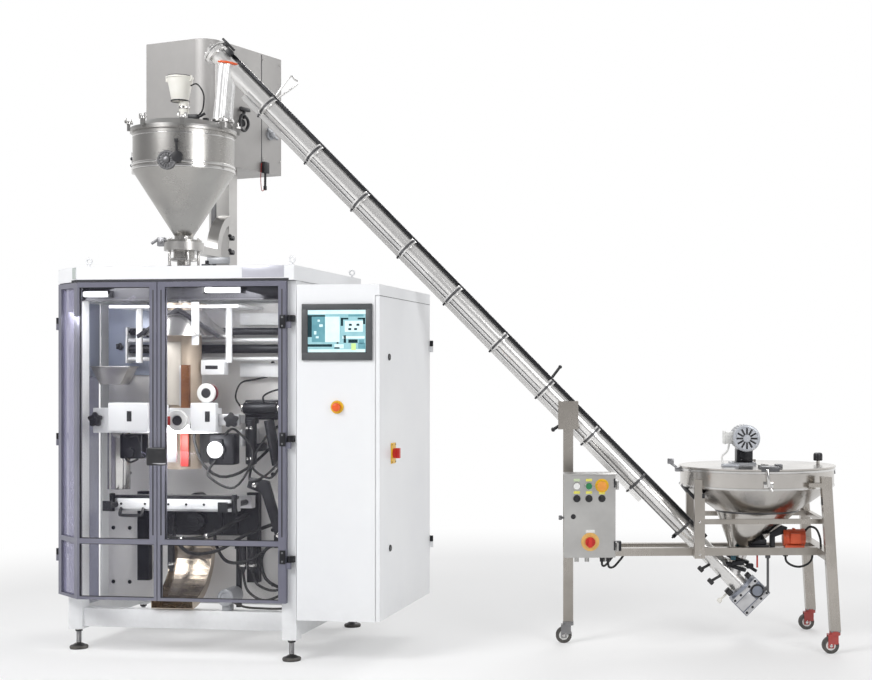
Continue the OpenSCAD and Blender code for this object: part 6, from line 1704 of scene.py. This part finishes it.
@dataclass
class ControlBox:
    """Control box of the cart with its push buttons, selectors, main switch and glands."""

    front_v: float = -325.0
    row: tuple = (1863.0, 1921.0, 1983.0)
    bench: Bench = Bench(FEEDER)

    def build(self) -> None:
        """Dress the control box and add its fittings."""
        dress(Shop.BOX_GREY, "control_box", "control_door")
        dress(Shop.ORANGE, "control_estop")
        dress(Shop.RED, "control_switch")
        dress(Shop.WHITE_PLASTIC, "start_button")
        dress(Shop.GREEN, "stop_button")
        dress(Shop.BLACK, "mode_selector")
        self._buttons()
        self._door()
        self._glands()

    def _rose(self, u: float, z: float, inner: float, outer: float, deep: float) -> bpy.types.Object:
        """Ring that lies on the door round one control.

        Args:
            u: Middle of the ring along the box.
            z: Height of the middle.
            inner: Inner radius.
            outer: Outer radius.
            deep: Thickness.

        Returns:
            The ring.
        """
        return self.bench.turned(ring(inner, outer, 0.1, deep, deep * 0.35), (u, self.front_v, z), FRONT, 32)

    def _buttons(self) -> None:
        """Rings, tags and the two further selectors of the upper rows."""
        b = self.bench
        v = self.front_v
        b.put([self._rose(self.row[0], 808, 12, 18, 3.2), self._rose(self.row[1], 808, 12, 18, 3.2)],
              "button_rings", Shop.STEEL_BRIGHT, "control_door")
        shade = [self._rose(u, 748, 11.2, 17.5, 3.4) for u in self.row]
        b.put(shade, "selector_rings", Shop.BLACK, "control_door")
        knobs = []
        for u in self.row[1:]:
            knobs += [b.drum((u, v + 1, 748), (u, v - 9, 748), 13, 1.5, 28),
                      b.block((u - 4, v - 19, 734), (u + 4, v - 8, 762), 2.5)]
        b.put(knobs, "selectors", Shop.BLACK, "control_door")
        tags = [b.block((u - 15, v - 1.6, z), (u + 15, v + 0.2, z + 13), 0.8) for u, z in
                ((self.row[0], 771), (self.row[1], 771), (self.row[2], 768), (self.row[1], 830))]
        b.put(tags, "button_tags", Shop.TAG, "control_door")
        b.put(b.block((self.row[0] - 15, v - 1.6, 830), (self.row[0] + 15, v + 0.2, 843), 0.8), "start_tag",
              Shop.TAG_GREEN, "control_door")
        b.put(self._rose(self.row[2], 810, 12, 33, 3.0), "stop_disc", Shop.YELLOW, "control_door")
        b.put(self._rose(1927, 541, 14, 44, 4.0), "mains_disc", Shop.AMBER, "control_door")
        b.put(b.block((1906, v - 2.0, 584), (1948, v + 0.2, 598), 1.0), "mains_tag", Shop.WHITE_PLASTIC,
              "control_door")

    def _door(self) -> None:
        """Lock, hinge caps and the folded edge of the door."""
        b = self.bench
        v = self.front_v
        lock = b.turned([(0, 2.0), (4, 2.0), (5, 4), (10, 4), (12, 2), (12, -1), (0, -1)], (1846, v, 662), FRONT, 24)
        b.put([lock, b.block((1836, v - 6, 658), (1858, v - 1, 666), 2.0)], "control_lock", Shop.BLACK,
              "control_door")
        knob = [b.drum((1804, -250, 650), (1790, -250, 650), 6, 1.0, 16),
                b.drum((1792, -250, 650), (1776, -250, 650), 11, 3.0, 20)]
        b.put(knob, "control_side_knob", Shop.FORK)
        caps = [b.block((2040, v - 5, z), (2048.4, v + 0.5, z + 44), 2.0) for z in (800, 500)]
        b.put(caps, "control_hinge_caps", Shop.BLACK, "control_door")
        hood = b.block((1799, -331, 860.2), (2053, -172, 866), 1.5)
        b.put(hood, "control_hood", Shop.BOX_GREY)
        bracket = [b.block((2049, -214, 482), (2082, -176, 530), 4.0),
                   b.drum((2064, -216, 506), (2064, -226, 506), 12, 2.0, 6)]
        b.put(bracket, "control_bracket", Shop.BLACK_METAL)

    def _glands(self) -> None:
        """Cable glands under the box with their leads along the beam."""
        b = self.bench
        glands = []
        for u in (1985, 2015):
            glands += [b.drum((u, -250, 466), (u, -250, 452), 13, 1.0, 6),
                       b.drum((u, -250, 453), (u, -250, 436), 10, 3.0, 20)]
        b.put(glands, "box_glands", Shop.BLACK)
        leads = [b.wire([(1985, -250, 440), (1988, -246, 418), (2004, -200, 412), (2030, -130, 430),
                         (2050, -106, 450)], 5.5),
                 b.wire([(2015, -250, 440), (2020, -244, 410), (2046, -190, 404), (2080, -130, 430),
                         (2100, -106, 452)], 5.5)]
        b.put(leads, "box_leads", Shop.RUBBER)


@dataclass
class Studio:
    """Floor, light and camera of the picture."""

    eye: Point = (1.720, -7.104, 1.340)
    yaw: float = 0.134
    lens: float = 59.47
    shift: tuple[float, float] = (-0.2, 0.04)
    floor_half: float = 60.0

    def build(self) -> None:
        """Set up the camera first, then the floor, the lamps and the world."""
        self._camera()
        self._floor()
        self._lamps()
        self._world()
        bpy.context.scene.view_settings.view_transform = "Standard"

    def _camera(self) -> None:
        """Camera at the photograph's place, level, turned a little to the left."""
        data = bpy.data.cameras.new("camera")
        data.lens = self.lens
        data.sensor_width = 36.0
        data.shift_x, data.shift_y = self.shift
        data.clip_end = 200.0
        cam = bpy.data.objects.new("camera", data)
        cam.location = self.eye
        cam.rotation_euler = (math.pi / 2, 0.0, self.yaw)
        bpy.context.scene.collection.objects.link(cam)
        bpy.context.scene.camera = cam

    def _floor(self) -> None:
        """Plain pale floor that keeps the shadow and shows white to the camera."""
        Bench._clear()
        bpy.ops.mesh.primitive_plane_add(size=2 * self.floor_half, location=(0, 0, 0))
        floor = bpy.context.object
        floor.name = "floor"
        mat, net, shader = new_material("pale floor")
        net.give(shader, {"Base Color": (0.86, 0.86, 0.86, 1.0), "Roughness": 0.75, "Specular IOR Level": 0.1})
        path = net.add("LightPath")
        glow = net.add("Emission", {"Color": PURE_WHITE})
        coords = net.add("TexCoord")
        reach = net.add("VectorMath", operation="LENGTH")
        far = net.add("MapRange", {"From Min": 1.9, "From Max": 5.5}, interpolation_type="SMOOTHSTEP")
        near = net.add("Math", {1: 0.34}, operation="MAXIMUM")
        seen = net.add("Math", operation="MULTIPLY")
        blend = net.add("MixShader")
        net.join([(coords, "Object", reach, 0), (reach, "Value", far, "Value"), (far, "Result", near, 0),
                  (near, 0, seen, 0), (self._shown(net, path, path, "Is Glossy Ray"), 0, seen, 1),
                  (seen, 0, blend, "Fac"), (shader, 0, blend, 1), (glow, 0, blend, 2),
                  (blend, 0, net.tree.nodes["Material Output"], "Surface")])
        floor.data.materials.append(mat)

    @staticmethod
    def _shown(net: Wiring, path: bpy.types.Node, gloss: bpy.types.Node, share: object) -> bpy.types.Node:
        """Share of a ray to which the white ground shows: seen directly, through glass or in gloss.

        Args:
            net: Wiring to work in.
            path: Its Light Path node.
            gloss: Node that says how far a reflected ray counts.
            share: Output of that node.

        Returns:
            The node whose first output is the share.
        """
        through = net.add("Math", operation="MAXIMUM")
        whole = net.add("Math", operation="MAXIMUM")
        net.join([(path, "Is Camera Ray", through, 0), (path, "Is Transmission Ray", through, 1),
                  (through, 0, whole, 0), (gloss, share, whole, 1)])
        return whole

    def _lamps(self) -> None:
        """Large soft lamps: key at the upper left, fill at the right, one behind."""
        for name, place, aim, size, power in (
            ("key lamp", (-3.6, -5.2, 5.2), (-0.8, 0.0, 1.2), 3.6, 300.0),
            ("fill lamp", (5.0, -4.6, 3.6), (0.4, 0.0, 1.0), 3.2, 150.0),
            ("rim lamp", (1.0, 4.5, 5.0), (0.0, 0.0, 1.4), 3.0, 110.0),
            ("left chamber lamp", (-1.60, -0.60, 1.69), (-1.36, -0.15, 0.95), 0.4, 2.6),
            ("right chamber lamp", (-1.02, -0.60, 1.69), (-1.20, -0.15, 0.95), 0.4, 2.6),
            ("low chamber lamp", (-1.25, -0.61, 1.02), (-1.25, -0.15, 0.50), 0.3, 2.4),
        ):
            data = bpy.data.lights.new(name, "AREA")
            data.shape = "DISK"
            data.size = size
            data.energy = power
            lamp = bpy.data.objects.new(name, data)
            lamp.location = place
            lamp.rotation_euler = (Vector(aim) - Vector(place)).to_track_quat("-Z", "Y").to_euler()
            bpy.context.scene.collection.objects.link(lamp)

    def _world(self) -> None:
        """White to the camera, and a pale room with a greyer front for light and gloss."""
        world = bpy.data.worlds.new("room")
        bpy.context.scene.world = world
        world.use_nodes = True
        net = Wiring(world.node_tree)
        room = net.give(net.tree.nodes["Background"], {"Strength": 0.75})
        coords = net.add("TexCoord")
        axes = net.add("SeparateXYZ")
        ramp = net.add("ValToRGB")
        for stop, place, grey in zip(ramp.color_ramp.elements, (0.0, 1.0), ((0.30, 0.30, 0.31), (0.95, 0.95, 0.95))):
            stop.position = place
            stop.color = (*grey, 1.0)
        span = net.add("MapRange", {"From Min": -1.0, "From Max": 1.0})
        white = net.add("Background", {"Color": PURE_WHITE})
        path = net.add("LightPath")
        mix = net.add("MixShader")
        back = net.add("MapRange", {"From Min": -0.1, "From Max": 0.7})
        gloss = net.add("Math", operation="MULTIPLY")
        net.join([(coords, "Generated", axes, 0), (axes, "Y", span, "Value"), (span, "Result", ramp, "Fac"),
                  (ramp, "Color", room, "Color"), (axes, "Y", back, "Value"), (back, "Result", gloss, 0),
                  (path, "Is Glossy Ray", gloss, 1), (self._shown(net, path, gloss, 0), 0, mix, "Fac"),
                  (room, 0, mix, 1), (white, 0, mix, 2), (mix, 0, net.tree.nodes["World Output"], "Surface")])


def main() -> None:
    """Set up the studio, then build and dress each sub-assembly in order."""
    logging.basicConfig(level=logging.INFO, format="%(name)s: %(message)s")
    Studio().build()
    for part in (SealerBody(), GuardDoors(), Cabinet(), FormingSet(), CrossSealer(), Filler(), ScrewFeeder(),
                 Cart(), ControlBox()):
        log.info("sub-assembly %s", type(part).__name__)
        part.build()


if __name__ == "__main__":
    main()
